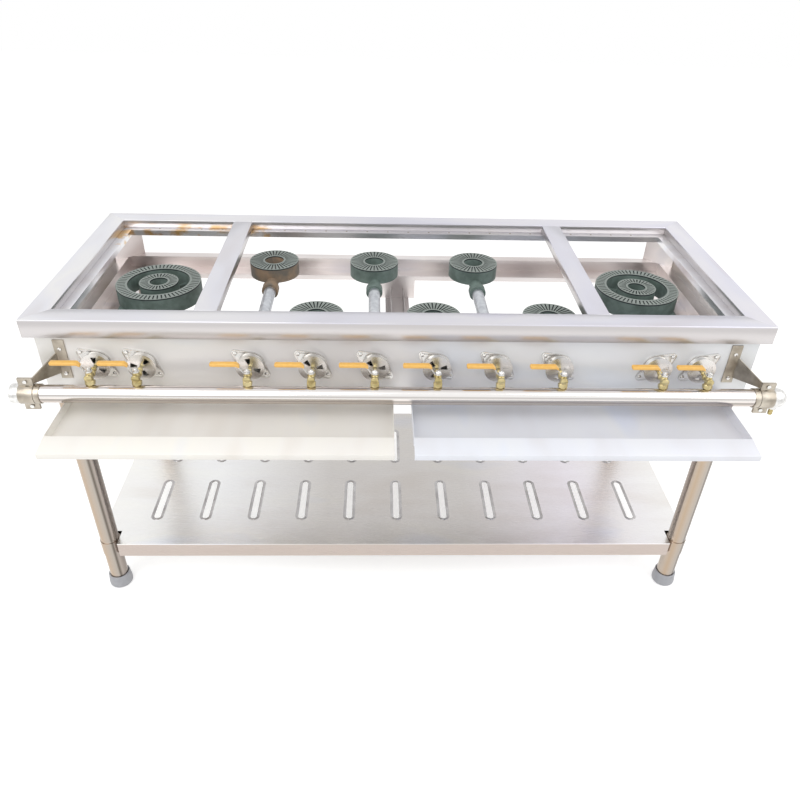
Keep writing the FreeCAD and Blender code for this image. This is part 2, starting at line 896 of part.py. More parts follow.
def pipe_clamps():
    node("pipe_clamps", [half_strap("clamp_" + side, -1, clamp_start(sign))
                         for side, sign in SIDES.items()])


def pipe_brackets():
    """Each bracket is a bolted flange, a tapered arm and the rear half of the clamp."""
    brackets = []
    gauge = size.bracket_sheet
    hole = size.screw_radius + size.screw_clearance
    for side, sign in SIDES.items():
        name = "bracket_" + side
        start = clamp_start(sign)
        flange = box(name + "_flange", size.bracket_width, gauge,
                     size.bracket_bottom - size.bracket_top,
                     size.bracket_centre * sign - size.bracket_width / 2,
                     panel_face - gauge, top - size.bracket_bottom)
        holes = [rod_back(f"{name}_bolt_{index}", hole, gauge * 4, x, panel_face - gauge * 2, z)
                 for index, (x, z) in enumerate(bracket_screw_places())
                 if x.value * sign > 0]
        root_x = size.bracket_centre + size.bracket_width / 2 - gauge
        tip_x = size.clamp_centre - size.clamp_width / 2 + gauge
        root_y = panel_face
        tip_y = manifold_y + size.clamp_sheet
        arm = new_body(name + "_arm")
        profile = new_sketch(arm, name + "_arm_shape", "YZ_Plane")
        run = length_of(tip_x - root_x, root_y - tip_y)
        draw_outline(profile, [
            (0, -size.arm_low), (0, -size.arm_high), (-run, -size.arm_tip_high),
            (-run, -size.arm_tip_low),
        ])
        pad(arm, name + "_arm_plate", profile, gauge, middle=True)
        place(arm, root_x * sign, root_y, top)
        spread = math.degrees(math.atan2(tip_x.value - root_x.value, root_y.value - tip_y.value))
        arm.Placement.Rotation = FreeCAD.Rotation(Z_AXIS, spread * sign)
        spread_text = f"atan2({(tip_x - root_x).text}; {(root_y - tip_y).text})"
        turn = spread_text if sign > 0 else f"-1 * {spread_text}"
        arm.setExpression("Placement.Rotation.Angle", turn)
        flat = box(name + "_trim", size.bracket_width * 2, size.bracket_width, size.body_drop,
                   size.bracket_centre * sign - size.bracket_width, panel_face,
                   top - size.body_drop)
        trimmed = cut(name + "_arm_trimmed", arm, [flat])
        strap = half_strap(name, 1, start)
        brackets.append(fuse(name, [cut(name + "_plate", flange, holes), trimmed, strap]))
    node("pipe_brackets", brackets)


def screw(name, x, face_y, z, grip):
    """A pan-head screw driven towards +Y with its head seated on the face."""
    shank = rod_back(name + "_shank", size.screw_radius, grip, x, face_y, z)
    head = rod_back(name + "_head", size.screw_head_radius, size.screw_head_height,
                    x, face_y - size.screw_head_height, z)
    return fuse(name, [head, shank])


def bracket_screws():
    grip = size.bracket_sheet + size.panel_sheet + 4
    screws = [screw(f"panel_screw_{index}", x, panel_face - size.bracket_sheet, z, grip)
              for index, (x, z) in enumerate(bracket_screw_places())]
    for side, sign in SIDES.items():
        for index, (x, z) in enumerate(clamp_screw_places(clamp_start(sign))):
            screws.append(screw(f"clamp_screw_{side}_{index}", x, manifold_y - size.clamp_sheet,
                                z, size.clamp_sheet * 2 + 4))
    node("bracket_screws", screws)


def inlet_elbow():
    """A threaded elbow on the right end of the manifold, turning down to the hose tail."""
    bore = size.manifold_radius + size.pipe_fit
    start = size.manifold_length / 2 - size.cap_piece_lap
    sleeve = rod_right("elbow_sleeve", size.elbow_radius, size.cap_piece_lap + size.elbow_bend,
                       start, manifold_y, manifold_z)
    turn = add("Part::Sphere", "elbow_turn")
    bind(turn, Radius=size.elbow_radius)
    middle = start + size.cap_piece_lap + size.elbow_bend
    place(turn, middle, manifold_y, manifold_z)
    outlet_foot = manifold_z - size.elbow_radius - 4
    outlet = rod("elbow_outlet", size.tail_radius + size.outlet_wall, size.elbow_radius + 4,
                 middle, manifold_y, outlet_foot)
    socket = rod_right("elbow_socket", bore, size.elbow_radius - size.elbow_bend,
                       middle - size.elbow_radius, manifold_y, manifold_z)
    way = rod_right("elbow_way", size.manifold_radius - size.manifold_wall, size.elbow_bend,
                    middle - size.elbow_bend, manifold_y, manifold_z)
    drop = rod("elbow_drop", size.tail_bore, size.elbow_radius, middle, manifold_y,
               manifold_z - size.elbow_radius)
    shank_radius = size.tail_radius - 1
    seat = rod("elbow_seat", shank_radius + size.pipe_fit, size.tail_shank,
               middle, manifold_y, outlet_foot)
    node("inlet_elbow", [cut("elbow", fuse("elbow_metal", [sleeve, turn, outlet]),
                             [socket, way, drop, seat])])
    tail = rod("tail", size.tail_radius, size.tail_length, middle, manifold_y,
               outlet_foot - size.tail_length)
    shank = rod("tail_shank", shank_radius, size.tail_shank, middle, manifold_y, outlet_foot)
    tail_way = rod("tail_way", size.tail_bore, size.tail_length + size.tail_shank,
                   middle, manifold_y, outlet_foot - size.tail_length)
    node("hose_tail", [cut("hose_tail_bored", fuse("tail_metal", [tail, shank]), [tail_way])])


def valve_bodies():
    bodies = []
    spigot_start = size.manifold_radius - size.nipple_depth
    for index, x in enumerate(valve_places()):
        name = f"valve_{index}"
        spigot = tilted(rod, name + "_spigot", size.tapping_radius - size.nipple_clearance,
                        size.nipple_depth + size.hex_clearance * 2, x, spigot_start)
        nipple = tilted(hexagon, name + "_hex", size.hex_radius, size.hex_height, x, hex_start)
        neck = tilted(rod, name + "_neck", size.body_radius - 1.5,
                      valve_rise - hex_start - size.hex_height, x,
                      hex_start + size.hex_height)
        barrel = rod_back(name + "_barrel", size.body_radius, size.body_half * 2,
                          x, valve_y - size.body_half, injector_z)
        boss = rod(name + "_boss", size.boss_radius, size.boss_height, x, valve_y, injector_z)
        bore = rod(name + "_stem_bore", size.stem_radius + size.stem_fit, size.stem_depth + 2,
                   x, valve_y, injector_z + size.boss_height - size.stem_depth - 1)
        bodies.append(cut(name, fuse(name + "_metal", [spigot, nipple, neck, barrel, boss]),
                          [bore]))
    node("valve_bodies", bodies)


def injectors():
    jets = []
    start = valve_y + size.body_half
    tip = cup_front + size.cup_face + 3
    for index, x in enumerate(valve_places()):
        name = f"injector_{index}"
        hexed = hexagon(name + "_hex", size.injector_hex_radius, size.injector_hex_length,
                        x, start, injector_z, X_AXIS, -90)
        barrel = rod_back(name + "_barrel", size.injector_radius, tip - start,
                          x, start, injector_z)
        orifice = rod_back(name + "_orifice", size.injector_bore, tip - start,
                           x, start, injector_z)
        jets.append(cut(name, fuse(name + "_metal", [hexed, barrel]), [orifice]))
    node("injectors", jets)


def lever_outline(start, width):
    """The side view of the bent lever strip, from the hub out to the left."""
    rise = size.lever_rise
    ramp = size.lever_ramp
    return [
        (-start, 0), (-start - ramp, rise), (-size.lever_length, rise),
        (-size.lever_length, rise + width), (-start - ramp, rise + width), (-start, width),
    ]


def valve_handles():
    hub_z = injector_z + size.boss_height + size.lever_gap
    for index, x in enumerate(valve_places()):
        name = f"handle_{index}"
        hub = rod(name + "_hub", size.hub_radius, size.lever_sheet, x, valve_y, hub_z)
        stem = rod(name + "_stem", size.stem_radius,
                   size.stem_depth + size.lever_gap + size.lever_sheet + size.nut_height + 1,
                   x, valve_y, hub_z - size.lever_gap - size.stem_depth)
        strip = new_body(name + "_strip")
        side_view = new_sketch(strip, name + "_bend", "XZ_Plane")
        draw_outline(side_view, lever_outline(size.hub_radius - 2, size.lever_sheet))
        pad(strip, name + "_strap", side_view, size.lever_width, middle=True)
        place(strip, x, valve_y, hub_z)
        lever = fuse(name + "_lever", [hub, stem, strip])
        grip_z = hub_z + size.lever_rise + size.lever_sheet / 2 - size.grip_height / 2
        block = box(name + "_grip_block", size.grip_length, size.grip_width, size.grip_height,
                    x - size.lever_length - 2, valve_y - size.grip_width / 2, grip_z)
        grip = cut(name + "_grip", block, [strip])
        nut_block = hexagon(name + "_nut_block", size.nut_radius, size.nut_height,
                            x, valve_y, hub_z + size.lever_sheet)
        nut_bore = rod(name + "_nut_bore", size.stem_radius, size.nut_height,
                       x, valve_y, hub_z + size.lever_sheet)
        nut = cut(name + "_nut", nut_block, [nut_bore])
        node(f"valve_handle_{index + 1}", [lever, grip, nut])


def port_outline():
    """One wedge-shaped air port, pointing along the sketch's horizontal direction."""
    tip = size.port_inner * sine(size.port_half_angle)
    wide = size.port_outer * sine(size.port_half_angle)
    near = size.port_inner * cosine(size.port_half_angle)
    far = size.port_outer * cosine(size.port_half_angle)
    return [(near, -tip), (far, -wide), (far, wide), (near, tip)]


def ported_disc(name, radius, thickness, bore, turn, x, y):
    """A disc facing the front with three wedge ports; turn is seen from the front."""
    body = new_body(name)
    face = new_sketch(body, name + "_face", "XZ_Plane")
    draw_circle(face, 0, 0, radius)
    draw_circle(face, 0, 0, bore)
    pad(body, name + "_disc", face, thickness)
    port = new_sketch(body, name + "_port", "XZ_Plane")
    draw_outline(port, port_outline())
    opening = pocket(body, name + "_opening", port, thickness * 4)
    opening.Midplane = True
    polar_pattern(body, name + "_ports", opening, "Y_Axis", PORT_COUNT)
    return place(body, x, y, injector_z, Y_AXIS, -turn)


def mixer_plate(name, index, x):
    """The two-lug flange: the outline that wraps one big disc and two small ones."""
    big, small, reach = size.mixer_radius, size.mixer_lug_radius, size.mixer_lug_reach
    ratio = (big - small) / reach
    rise = Size(math.sqrt(1 - ratio.value ** 2), f"sqrt(1 - ({ratio.text}) ^ 2)")
    body = new_body(name)
    wedge = new_sketch(body, name + "_wedge", "XZ_Plane")
    draw_outline(wedge, [
        (big * ratio, -big * rise), (reach + small * ratio, -small * rise),
        (reach + small * ratio, small * rise), (big * ratio, big * rise),
        (-big * ratio, big * rise), (-reach - small * ratio, small * rise),
        (-reach - small * ratio, -small * rise), (-big * ratio, -big * rise),
    ])
    pad(body, name + "_web", wedge, size.mixer_plate)
    turn = screw_turns(index)[0]
    place(body, x, panel_face, injector_z, Y_AXIS, -turn)
    face = panel_face - size.mixer_plate
    pieces = [body, rod_back(name + "_round", big, size.mixer_plate, x, face, injector_z)]
    for lug, (lug_x, lug_z) in enumerate(lug_places(index, x)):
        pieces.append(rod_back(f"{name}_lug_{lug}", small, size.mixer_plate, lug_x, face, lug_z))
    return pieces


def mixers():
    """Cast mixer flanges, each with a round cup whose face carries the three air ports."""
    castings = []
    hole = size.screw_radius + size.screw_clearance
    for index, x in enumerate(valve_places()):
        name = f"mixer_{index}"
        pieces = mixer_plate(name, index, x)
        cup = rod_back(name + "_cup", size.cup_radius, size.cup_length, x, cup_front, injector_z)
        chamber = rod_back(name + "_chamber", size.cup_radius - size.cup_wall,
                           size.cup_length - size.cup_face, x, cup_front + size.cup_face,
                           injector_z)
        pieces.append(cut(name + "_shell", cup, [chamber]))
        cutter = port_cutter(name, index, x)
        throat = rod_back(name + "_throat", size.pipe_radius - size.pipe_wall,
                          size.mixer_plate * 3, x, panel_face - size.mixer_plate * 2, injector_z)
        jet_hole = rod_back(name + "_jet_hole", size.injector_radius + size.shutter_fit,
                            size.cup_face * 3, x, cup_front - size.cup_face, injector_z)
        holes = [rod_back(f"{name}_hole_{lug}", hole, size.mixer_plate * 2,
                          lug_x, panel_face - size.mixer_plate * 1.5, lug_z)
                 for lug, (lug_x, lug_z) in enumerate(lug_places(index, x))]
        castings.append(cut(name, fuse(name + "_metal", pieces),
                            [cutter, throat, jet_hole, *holes]))
    node("mixer_flanges", castings)


def port_cutter(name, index, x):
    body = new_body(name + "_ports")
    port = new_sketch(body, name + "_port", "XZ_Plane")
    draw_outline(port, port_outline())
    first = pad(body, name + "_port_pad", port, size.cup_face * 4, middle=True)
    polar_pattern(body, name + "_port_set", first, "Y_Axis", PORT_COUNT)
    return place(body, x, cup_front, injector_z, Y_AXIS, -PORT_ANGLES[index])


def air_shutters():
    y = cup_front - size.shutter_gap
    for index, x in enumerate(valve_places()):
        turn = PORT_ANGLES[index] + SHUTTER_TURNS[index]
        disc = ported_disc(f"shutter_{index}", size.shutter_radius, size.shutter_sheet,
                           size.injector_radius + size.shutter_fit, turn, x, y)
        node(f"air_shutter_{index + 1}", [disc])


def flange_screws():
    grip = size.mixer_plate + size.panel_sheet + 4
    screws = [screw(f"flange_screw_{index}_{lug}", lug_x, panel_face - size.mixer_plate,
                    lug_z, grip)
              for index, x in enumerate(valve_places())
              for lug, (lug_x, lug_z) in enumerate(lug_places(index, x))]
    node("flange_screws", screws)


def ring_body(name, profiles, grooves):
    """Turned rings with radial flame grooves cut across their tops."""
    body = new_body(name)
    for index, (inner, outer, height) in enumerate(profiles):
        section = new_sketch(body, f"{name}_section_{index}", "XY_Plane")
        draw_circle(section, 0, 0, outer)
        draw_circle(section, 0, 0, inner)
        pad(body, f"{name}_ring_{index}", section, height)
    for index, (inner, outer, height, count) in enumerate(grooves):
        half = size.port_groove_width / 2
        groove = new_sketch(body, f"{name}_groove_{index}", "XY_Plane")
        groove.AttachmentOffset = FreeCAD.Placement(
            FreeCAD.Vector(0, 0, height.value), FreeCAD.Rotation())
        groove.setExpression("AttachmentOffset.Base.z", height.text)
        draw_outline(groove, [(inner, -half), (outer, -half), (outer, half), (inner, half)])
        slit = pocket(body, f"{name}_slit_{index}", groove, size.port_groove_depth)
        polar_pattern(body, f"{name}_slits_{index}", slit, "Z_Axis", count)
    return body


def burner_necks(name, start, mixer, reach):
    """The cast inlet neck and pipe socket on the line from the burner to its mixer."""
    socket_end = reach + size.socket_length
    neck = aimed_rod(name + "_neck", size.neck_radius, start, mixer, Size(0, "0"), reach + 1)
    socket = aimed_rod(name + "_socket", size.socket_radius, start, mixer, reach, socket_end)
    bore = aimed_rod(name + "_bore", size.pipe_radius + size.pipe_fit, start, mixer,
                     socket_end - size.socket_depth, socket_end)
    pipe_start = socket_end - size.socket_depth + 0.5
    return [neck, socket], [bore], (start, mixer, pipe_start)


def single_burner(name, x, y, mixer_x, reach):
    base_z = top - size.burner_drop - size.single_height
    ring = ring_body(name + "_ring", [(size.single_hole, size.single_radius, size.single_height)],
                     [(size.single_hole + size.groove_start,
                       size.single_radius - size.groove_rim, size.single_height,
                       SINGLE_GROOVES)])
    place(ring, x, y, base_z)
    mixer = (mixer_x, panel_face, injector_z)
    heading = (mixer_x - x, panel_face - y)
    flat = length_of(*heading)
    inset = (size.single_hole + size.single_radius) / 2
    start = (x + heading[0] * inset / flat, y + heading[1] * inset / flat, base_z)
    pieces, bores, line = burner_necks(name, start, mixer, reach)
    return cut(name, fuse(name + "_casting", [ring, *pieces]), bores), line


def single_burners():
    valves = valve_places()
    lines = []
    back_reach = size.single_radius - size.single_hole
    rows = (
        ("back", size.back_row, BACK_VALVES, size.back_burner_pitch,
         -size.back_burner_middle, back_reach),
        ("front", size.front_row, FRONT_VALVES, size.front_burner_pitch,
         size.front_burner_middle, back_reach - 9),
    )
    for row, depth, members, pitch, middle, reach in rows:
        castings = []
        for step, valve in enumerate(members):
            x = middle + pitch * (step - 1)
            casting, line = single_burner(f"burner_{row}_{step}", x, front + depth,
                                          valves[valve], reach)
            castings.append(casting)
            lines.append(line)
        node("single_burners_" + row, castings)
    return lines


def double_burners():
    lines = []
    base_z = top - size.burner_drop - size.double_height
    y = front + size.double_row
    for side, sign in SIDES.items():
        name = "double_" + side
        x = size.double_offset * sign
        height = size.double_height
        ring = ring_body(
            name + "_ring",
            [(size.double_gap_outer, size.double_radius, height)],
            [(size.double_gap_outer + size.groove_start,
              size.double_radius - size.groove_rim, height, OUTER_GROOVES)])
        place(ring, x, y, base_z)
        heart = ring_body(
            name + "_heart",
            [(size.double_hole, size.double_gap_inner, height)],
            [(size.double_hole + size.groove_start,
              size.double_gap_inner - size.groove_rim, height, INNER_GROOVES)])
        place(heart, x, y, base_z)
        spokes = []
        spoke_run = size.double_gap_outer - size.double_gap_inner + 4
        for spoke in range(SPOKE_COUNT):
            turn = 45 + 90 * spoke
            reach = size.double_gap_inner - 2
            half = size.spoke_width / 2
            spokes.append(box(f"{name}_spoke_{spoke}", spoke_run, size.spoke_width,
                              size.spoke_height,
                              x + reach * cosine(turn) + half * sine(turn),
                              y + reach * sine(turn) - half * cosine(turn),
                              base_z, Z_AXIS, turn))
        pieces = [ring, heart, *spokes]
        bores = []
        neck_z = base_z - size.double_neck_drop
        feeds = ((size.outer_feed, 30), (size.inner_feed, 36))
        for feed, (offset, inset) in enumerate(feeds):
            feed_x = offset * sign
            start = (feed_x, y - inset, neck_z)
            mixer = (feed_x, panel_face, injector_z)
            reach = size.double_radius + 16 - inset
            neck, bore, line = burner_necks(f"{name}_{feed}", start, mixer, reach)
            pieces += neck
            bores += bore
            lines.append(line)
        node("double_burner_" + side, [cut(name, fuse(name + "_casting", pieces), bores)])
    return lines


def burner_pipes(lines):
    pipes = []
    for index, (start, mixer, begin) in enumerate(lines):
        run = [b - a for a, b in zip(start, mixer)]
        finish = length_of(*run)
        outside = aimed_rod(f"feed_{index}", size.pipe_radius, start, mixer, begin, finish)
        inside = aimed_rod(f"feed_bore_{index}", size.pipe_radius - size.pipe_wall,
                           start, mixer, begin, finish)
        front_trim = box(f"feed_trim_{index}", size.socket_radius * 3, size.panel_flange,
                         size.socket_radius * 3, mixer[0] - size.socket_radius * 1.5,
                         panel_face - size.panel_flange, injector_z - size.socket_radius * 1.5)
        pipes.append(cut(f"feed_pipe_{index}", outside, [inside, front_trim]))
    node("burner_pipes", pipes)


def centre_support():
    """The hanger plate on the rear rail and the channel that carries the inner tray edges."""
    rail_toe = back - size.panel_setback - size.panel_sheet - size.rail_top_flange - size.rail_foot
    hanger_top = top - size.rail_drop - size.rail_web - size.rail_lip
    channel_floor = tray_bottom - size.runner_gap - size.runner_sheet
    gauge = size.runner_sheet
    hanger = box("hanger", size.hanger_half * 2, gauge, hanger_top - channel_floor + size.rail_lip,
                 -size.hanger_half, rail_toe - gauge, channel_floor)
    node("centre_support", [hanger])
    foot = size.tray_inner + size.runner_foot
    web_top = top - size.body_drop
    start = panel_inside + 1
    length = rail_toe - gauge - start
    channel = new_body("channel")
    profile = new_sketch(channel, "channel_section", "XZ_Plane")
    half = size.channel_half
    rise = web_top - channel_floor
    draw_outline(profile, [
        (-foot, 0), (foot, 0), (foot, gauge), (half, gauge), (half, rise), (half - gauge, rise),
        (half - gauge, gauge), (gauge - half, gauge), (gauge - half, rise), (-half, rise),
        (-half, gauge), (-foot, gauge),
    ])
    pad(channel, "channel_fold", profile, length)
    place(channel, 0, start + length, channel_floor)
    node("centre_runner", [channel])


def tray_runners():
    gauge = size.runner_sheet
    floor = tray_bottom - size.runner_gap - gauge
    start = panel_inside + size.panel_flange
    runners = []
    for side, sign in SIDES.items():
        body = new_body("runner_" + side)
        profile = new_sketch(body, "runner_section_" + side, "XZ_Plane")
        near = tray_outer + size.runner_gap
        foot = near - size.runner_foot
        draw_outline(profile, [
            (foot * sign, 0), ((near + gauge) * sign, 0),
            ((near + gauge) * sign, rail_underside - floor), (near * sign, rail_underside - floor),
            (near * sign, gauge), (foot * sign, gauge),
        ])
        pad(body, "runner_fold_" + side, profile, size.runner_length)
        runners.append(place(body, 0, start + size.runner_length, floor))
    node("tray_runners", runners)


def drip_trays():
    """Each tray is a shallow folded pan whose front edge runs out into a sloping pull lip."""
    gauge = size.tray_sheet
    fold_y = front - size.tray_reach + size.tray_lip
    width = tray_outer - size.tray_inner
    for side, sign in SIDES.items():
        name = "tray_" + side
        x = size.tray_inner if sign > 0 else -tray_outer
        pan = box(name + "_pan", width, size.tray_depth, size.tray_height, x, fold_y, tray_bottom)
        hollow = box(name + "_hollow", width - gauge * 2, size.tray_depth - gauge * 2,
                     size.tray_height, x + gauge, fold_y + gauge, tray_bottom + gauge)
        lip = new_body(name + "_lip")
        profile = new_sketch(lip, name + "_lip_section", "YZ_Plane")
        draw_outline(profile, [
            (0, 0), (-size.tray_lip, -size.tray_lip_fall),
            (-size.tray_lip, -size.tray_lip_fall - size.tray_hem),
            (gauge - size.tray_lip, -size.tray_lip_fall - size.tray_hem),
            (gauge - size.tray_lip, -size.tray_lip_fall - gauge), (0, -gauge),
        ])
        pad(lip, name + "_lip_fold", profile, width, middle=True)
        place(lip, x + width / 2, fold_y, tray_top)
        node("drip_" + name, [fuse(name, [cut(name + "_body", pan, [hollow]), lip])])


def check_document():
    for feature in doc.Objects:
        if "Invalid" in feature.State or "Error" in feature.State:
            raise RuntimeError(f"{feature.Label}: {feature.State}")
    for feature in nodes:
        shape = feature.Shape
        if shape.isNull() or not shape.isValid():
            raise RuntimeError(f"{feature.Label} has no valid shape")


def write_parts():
    os.makedirs("parts", exist_ok=True)
    for feature in nodes:
        shape = feature.Shape
        shape.exportStep(os.path.join("parts", feature.Label + ".step"))
        corner = shape.BoundBox
        print(f"{feature.Label}: {len(shape.Solids)} solids, volume {shape.Volume / 1000:.1f} cc, "
              f"X {corner.XMin:.1f} to {corner.XMax:.1f}, Y {corner.YMin:.1f} to "
              f"{corner.YMax:.1f}, Z {corner.ZMin:.1f} to {corner.ZMax:.1f}")


top_rim()
grate_ledges()
cross_bars()
control_panel()
side_panels()
lower_rails()
corner_gussets()
legs()
foot_caps()
lower_shelf()
shelf_sleeves()
manifold_pipe()
pipe_end_cap()
pipe_collars()
pipe_clamps()
pipe_brackets()
bracket_screws()
inlet_elbow()
valve_bodies()
injectors()
valve_handles()
mixers()
air_shutters()
flange_screws()
burner_pipes(single_burners() + double_burners())
centre_support()
tray_runners()
drip_trays()
doc.recompute()
check_document()
write_parts()
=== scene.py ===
import json
import math
import bpy
from mathutils import Matrix, Vector


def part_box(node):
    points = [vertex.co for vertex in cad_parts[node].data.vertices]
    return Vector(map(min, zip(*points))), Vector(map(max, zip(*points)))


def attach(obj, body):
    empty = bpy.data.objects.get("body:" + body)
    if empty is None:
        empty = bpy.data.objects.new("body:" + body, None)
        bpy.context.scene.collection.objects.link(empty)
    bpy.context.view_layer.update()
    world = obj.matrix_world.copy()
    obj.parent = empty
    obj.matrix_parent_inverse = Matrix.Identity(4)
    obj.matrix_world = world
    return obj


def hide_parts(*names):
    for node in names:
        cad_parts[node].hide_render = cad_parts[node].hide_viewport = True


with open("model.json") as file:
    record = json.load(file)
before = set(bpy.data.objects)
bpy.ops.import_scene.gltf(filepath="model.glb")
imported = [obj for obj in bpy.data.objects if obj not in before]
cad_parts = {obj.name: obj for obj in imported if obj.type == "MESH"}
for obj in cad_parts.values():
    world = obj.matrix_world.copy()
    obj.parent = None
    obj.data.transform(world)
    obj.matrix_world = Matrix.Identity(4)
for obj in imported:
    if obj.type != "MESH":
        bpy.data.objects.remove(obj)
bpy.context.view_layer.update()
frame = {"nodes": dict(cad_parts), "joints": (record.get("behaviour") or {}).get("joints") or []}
cadNodes = frame["nodes"]
jointAt = {joint["name"]: joint.get("pos_m") for joint in frame["joints"]}
mm = 0.001
print("frame loaded:", len(cadNodes), "nodes")


def linearColour(hexText):
    parts = [int(hexText[i:i + 2], 16) / 255 for i in (1, 3, 5)]
    return [c / 12.92 if c <= 0.04045 else ((c + 0.055) / 1.055) ** 2.4 for c in parts] + [1.0]


def addNode(tree, kind, settings=None, links=None):
    # settings are properties or input values, links are input name -> output socket
    made = tree.nodes.new(kind)
    for key, value in (settings or {}).items():
        if isinstance(key, str) and hasattr(made, key):
            setattr(made, key, value)
        else:
            made.inputs[key].default_value = value
    for key, socket in (links or {}).items():
        tree.links.new(socket, made.inputs[key])
    return made


def newMaterial(name):
    material = bpy.data.materials.new(name)
    material.use_nodes = True
    tree = material.node_tree
    shader = tree.nodes["Principled BSDF"]
    place = addNode(tree, "ShaderNodeTexCoord")
    return material, tree, shader, place.outputs["Object"]


def colourRamp(tree, factor, stops):
    ramp = addNode(tree, "ShaderNodeValToRGB", links={"Fac": factor})
    band = ramp.color_ramp
    band.elements[0].position = stops[0][0]
    band.elements[1].position = stops[-1][0]
    for spot, _ in stops[1:-1]:
        band.elements.new(spot)
    for element, (_, hexText) in zip(band.elements, stops):
        element.color = linearColour(hexText)
    return ramp.outputs["Color"]


def valueRange(tree, factor, low, high):
    spread = addNode(tree, "ShaderNodeMapRange", {"To Min": low, "To Max": high}, {"Value": factor})
    return spread.outputs["Result"]


def mixed(tree, blend, factor, first, second):
    # factor is a number or a socket, second is a hex colour or a socket
    mix = addNode(tree, "ShaderNodeMix", {"data_type": "RGBA", "blend_type": blend})
    if isinstance(factor, float):
        mix.inputs[0].default_value = factor
    else:
        tree.links.new(factor, mix.inputs[0])
    tree.links.new(first, mix.inputs[6])
    if isinstance(second, str):
        mix.inputs[7].default_value = linearColour(second)
    else:
        tree.links.new(second, mix.inputs[7])
    return mix.outputs[2]


def stretched(tree, place, scale):
    mapping = addNode(tree, "ShaderNodeMapping", {"Scale": scale}, {"Vector": place})
    return mapping.outputs["Vector"]


brushed = {
    "grainPitch": 0.9 * mm,      # real brushing is near 0.1 mm, drawn coarser so that it shows
    "cloudSize": 190 * mm,       # the mill's own soft cloudiness across a sheet
    "halfLength": 875 * mm,
    "cloudStretch": 1.6,         # the cloudiness is drawn out along the grain
    "cloudAlong": 0.55,
    "grainRatio": 60,            # length of a brush mark over its width
    "bumpStrength": 0.03,
    "bumpDepth": 0.1 * mm,
}


def alongAxis(axis, along, across):
    # a scale for each axis: one value on the grain's own axis, another on the two across it
    return tuple(along if letter == axis else across for letter in "XYZ")


def brushedStainless(name, along, stops, roughLow, roughHigh, reflectionTint=None, paintedShadeBelowZ=None,
                     paintedShadeHex="#BFB3AC", metallic=1.0):
    # brushed stainless sheet: bright, faintly warm and cool in turn, with a fine directional grain;
    # the tint ramp runs from end to end of the range as a painted reflection, and below the fold
    # height the bends and aprons are drawn darker as painted shade
    material, tree, shader, place = newMaterial(name)
    cloud = addNode(tree, "ShaderNodeTexNoise",
                    {"Scale": 1 / brushed["cloudSize"], "Detail": 2.0, "Roughness": 0.45},
                    {"Vector": stretched(tree, place, alongAxis(along, brushed["cloudAlong"],
                                                                brushed["cloudStretch"]))})
    colour = colourRamp(tree, cloud.outputs["Fac"], stops)
    fine = 1 / brushed["grainPitch"]
    grainScale = alongAxis(along, fine / brushed["grainRatio"], fine)
    grain = addNode(tree, "ShaderNodeTexNoise", {"Scale": 1.0, "Detail": 2.0},
                    {"Vector": stretched(tree, place, grainScale)})
    spot = addNode(tree, "ShaderNodeSeparateXYZ", links={"Vector": place})
    # painted reflection: the part is lightened and darkened from the range's left end to its right
    # end
    if reflectionTint:
        reach = addNode(tree, "ShaderNodeMapRange",
                        {"From Min": -brushed["halfLength"], "From Max": brushed["halfLength"]},
                        {"Value": spot.outputs["X"]})
        colour = mixed(tree, "MULTIPLY", 1.0, colour,
                       colourRamp(tree, reach.outputs["Result"], reflectionTint))
    # painted shade: faces below the given height, the bends and aprons, are drawn in the darker
    # colour
    if paintedShadeBelowZ is not None:
        below = addNode(tree, "ShaderNodeMath", {"operation": "LESS_THAN", 1: paintedShadeBelowZ},
                        {0: spot.outputs["Z"]})
        colour = mixed(tree, "MIX", below.outputs[0], colour, paintedShadeHex)
    tree.links.new(colour, shader.inputs["Base Color"])
    tree.links.new(valueRange(tree, grain.outputs["Fac"], roughLow, roughHigh),
                   shader.inputs["Roughness"])
    bump = addNode(tree, "ShaderNodeBump",
                   {"Strength": brushed["bumpStrength"], "Distance": brushed["bumpDepth"]},
                   {"Height": grain.outputs["Fac"]})
    tree.links.new(bump.outputs["Normal"], shader.inputs["Normal"])
    shader.inputs["Metallic"].default_value = metallic
    return material


stain = {
    "middleX": -690 * mm,        # where spills have dried on the back ledge
    "reach": 340 * mm,
    "backY": 262 * mm,           # only behind this line
    "patch": 42 * mm,
    "hex": "#DDB985",
}


def stainedLedge(name):
    # the ledge's own brushed stainless, with a dried amber spill along its back left end
    material = brushedStainless(name, "X", sheetStops, 0.26, 0.34)
    tree = material.node_tree
    shader = tree.nodes["Principled BSDF"]
    clean = shader.inputs["Base Color"].links[0].from_socket
    place = addNode(tree, "ShaderNodeTexCoord").outputs["Object"]
    spot = addNode(tree, "ShaderNodeSeparateXYZ", links={"Vector": place})
    across = addNode(tree, "ShaderNodeMath",
                     {"operation": "COMPARE", 1: stain["middleX"], 2: stain["reach"]},
                     {0: spot.outputs["X"]})
    behind = addNode(tree, "ShaderNodeMath", {"operation": "GREATER_THAN", 1: stain["backY"]},
                     {0: spot.outputs["Y"]})
    blotch = addNode(tree, "ShaderNodeTexNoise", {"Scale": 1 / stain["patch"], "Detail": 4.0},
                     {"Vector": place})
    wet = addNode(tree, "ShaderNodeMapRange", {"From Min": 0.50, "From Max": 0.64},
                  {"Value": blotch.outputs["Fac"]})
    here = addNode(tree, "ShaderNodeMath", {"operation": "MULTIPLY"},
                   {0: across.outputs[0], 1: behind.outputs[0]})
    mask = addNode(tree, "ShaderNodeMath", {"operation": "MULTIPLY"},
                   {0: here.outputs[0], 1: wet.outputs["Result"]})
    tree.links.new(mixed(tree, "MIX", mask.outputs[0], clean, stain["hex"]),
                   shader.inputs["Base Color"])
    return material


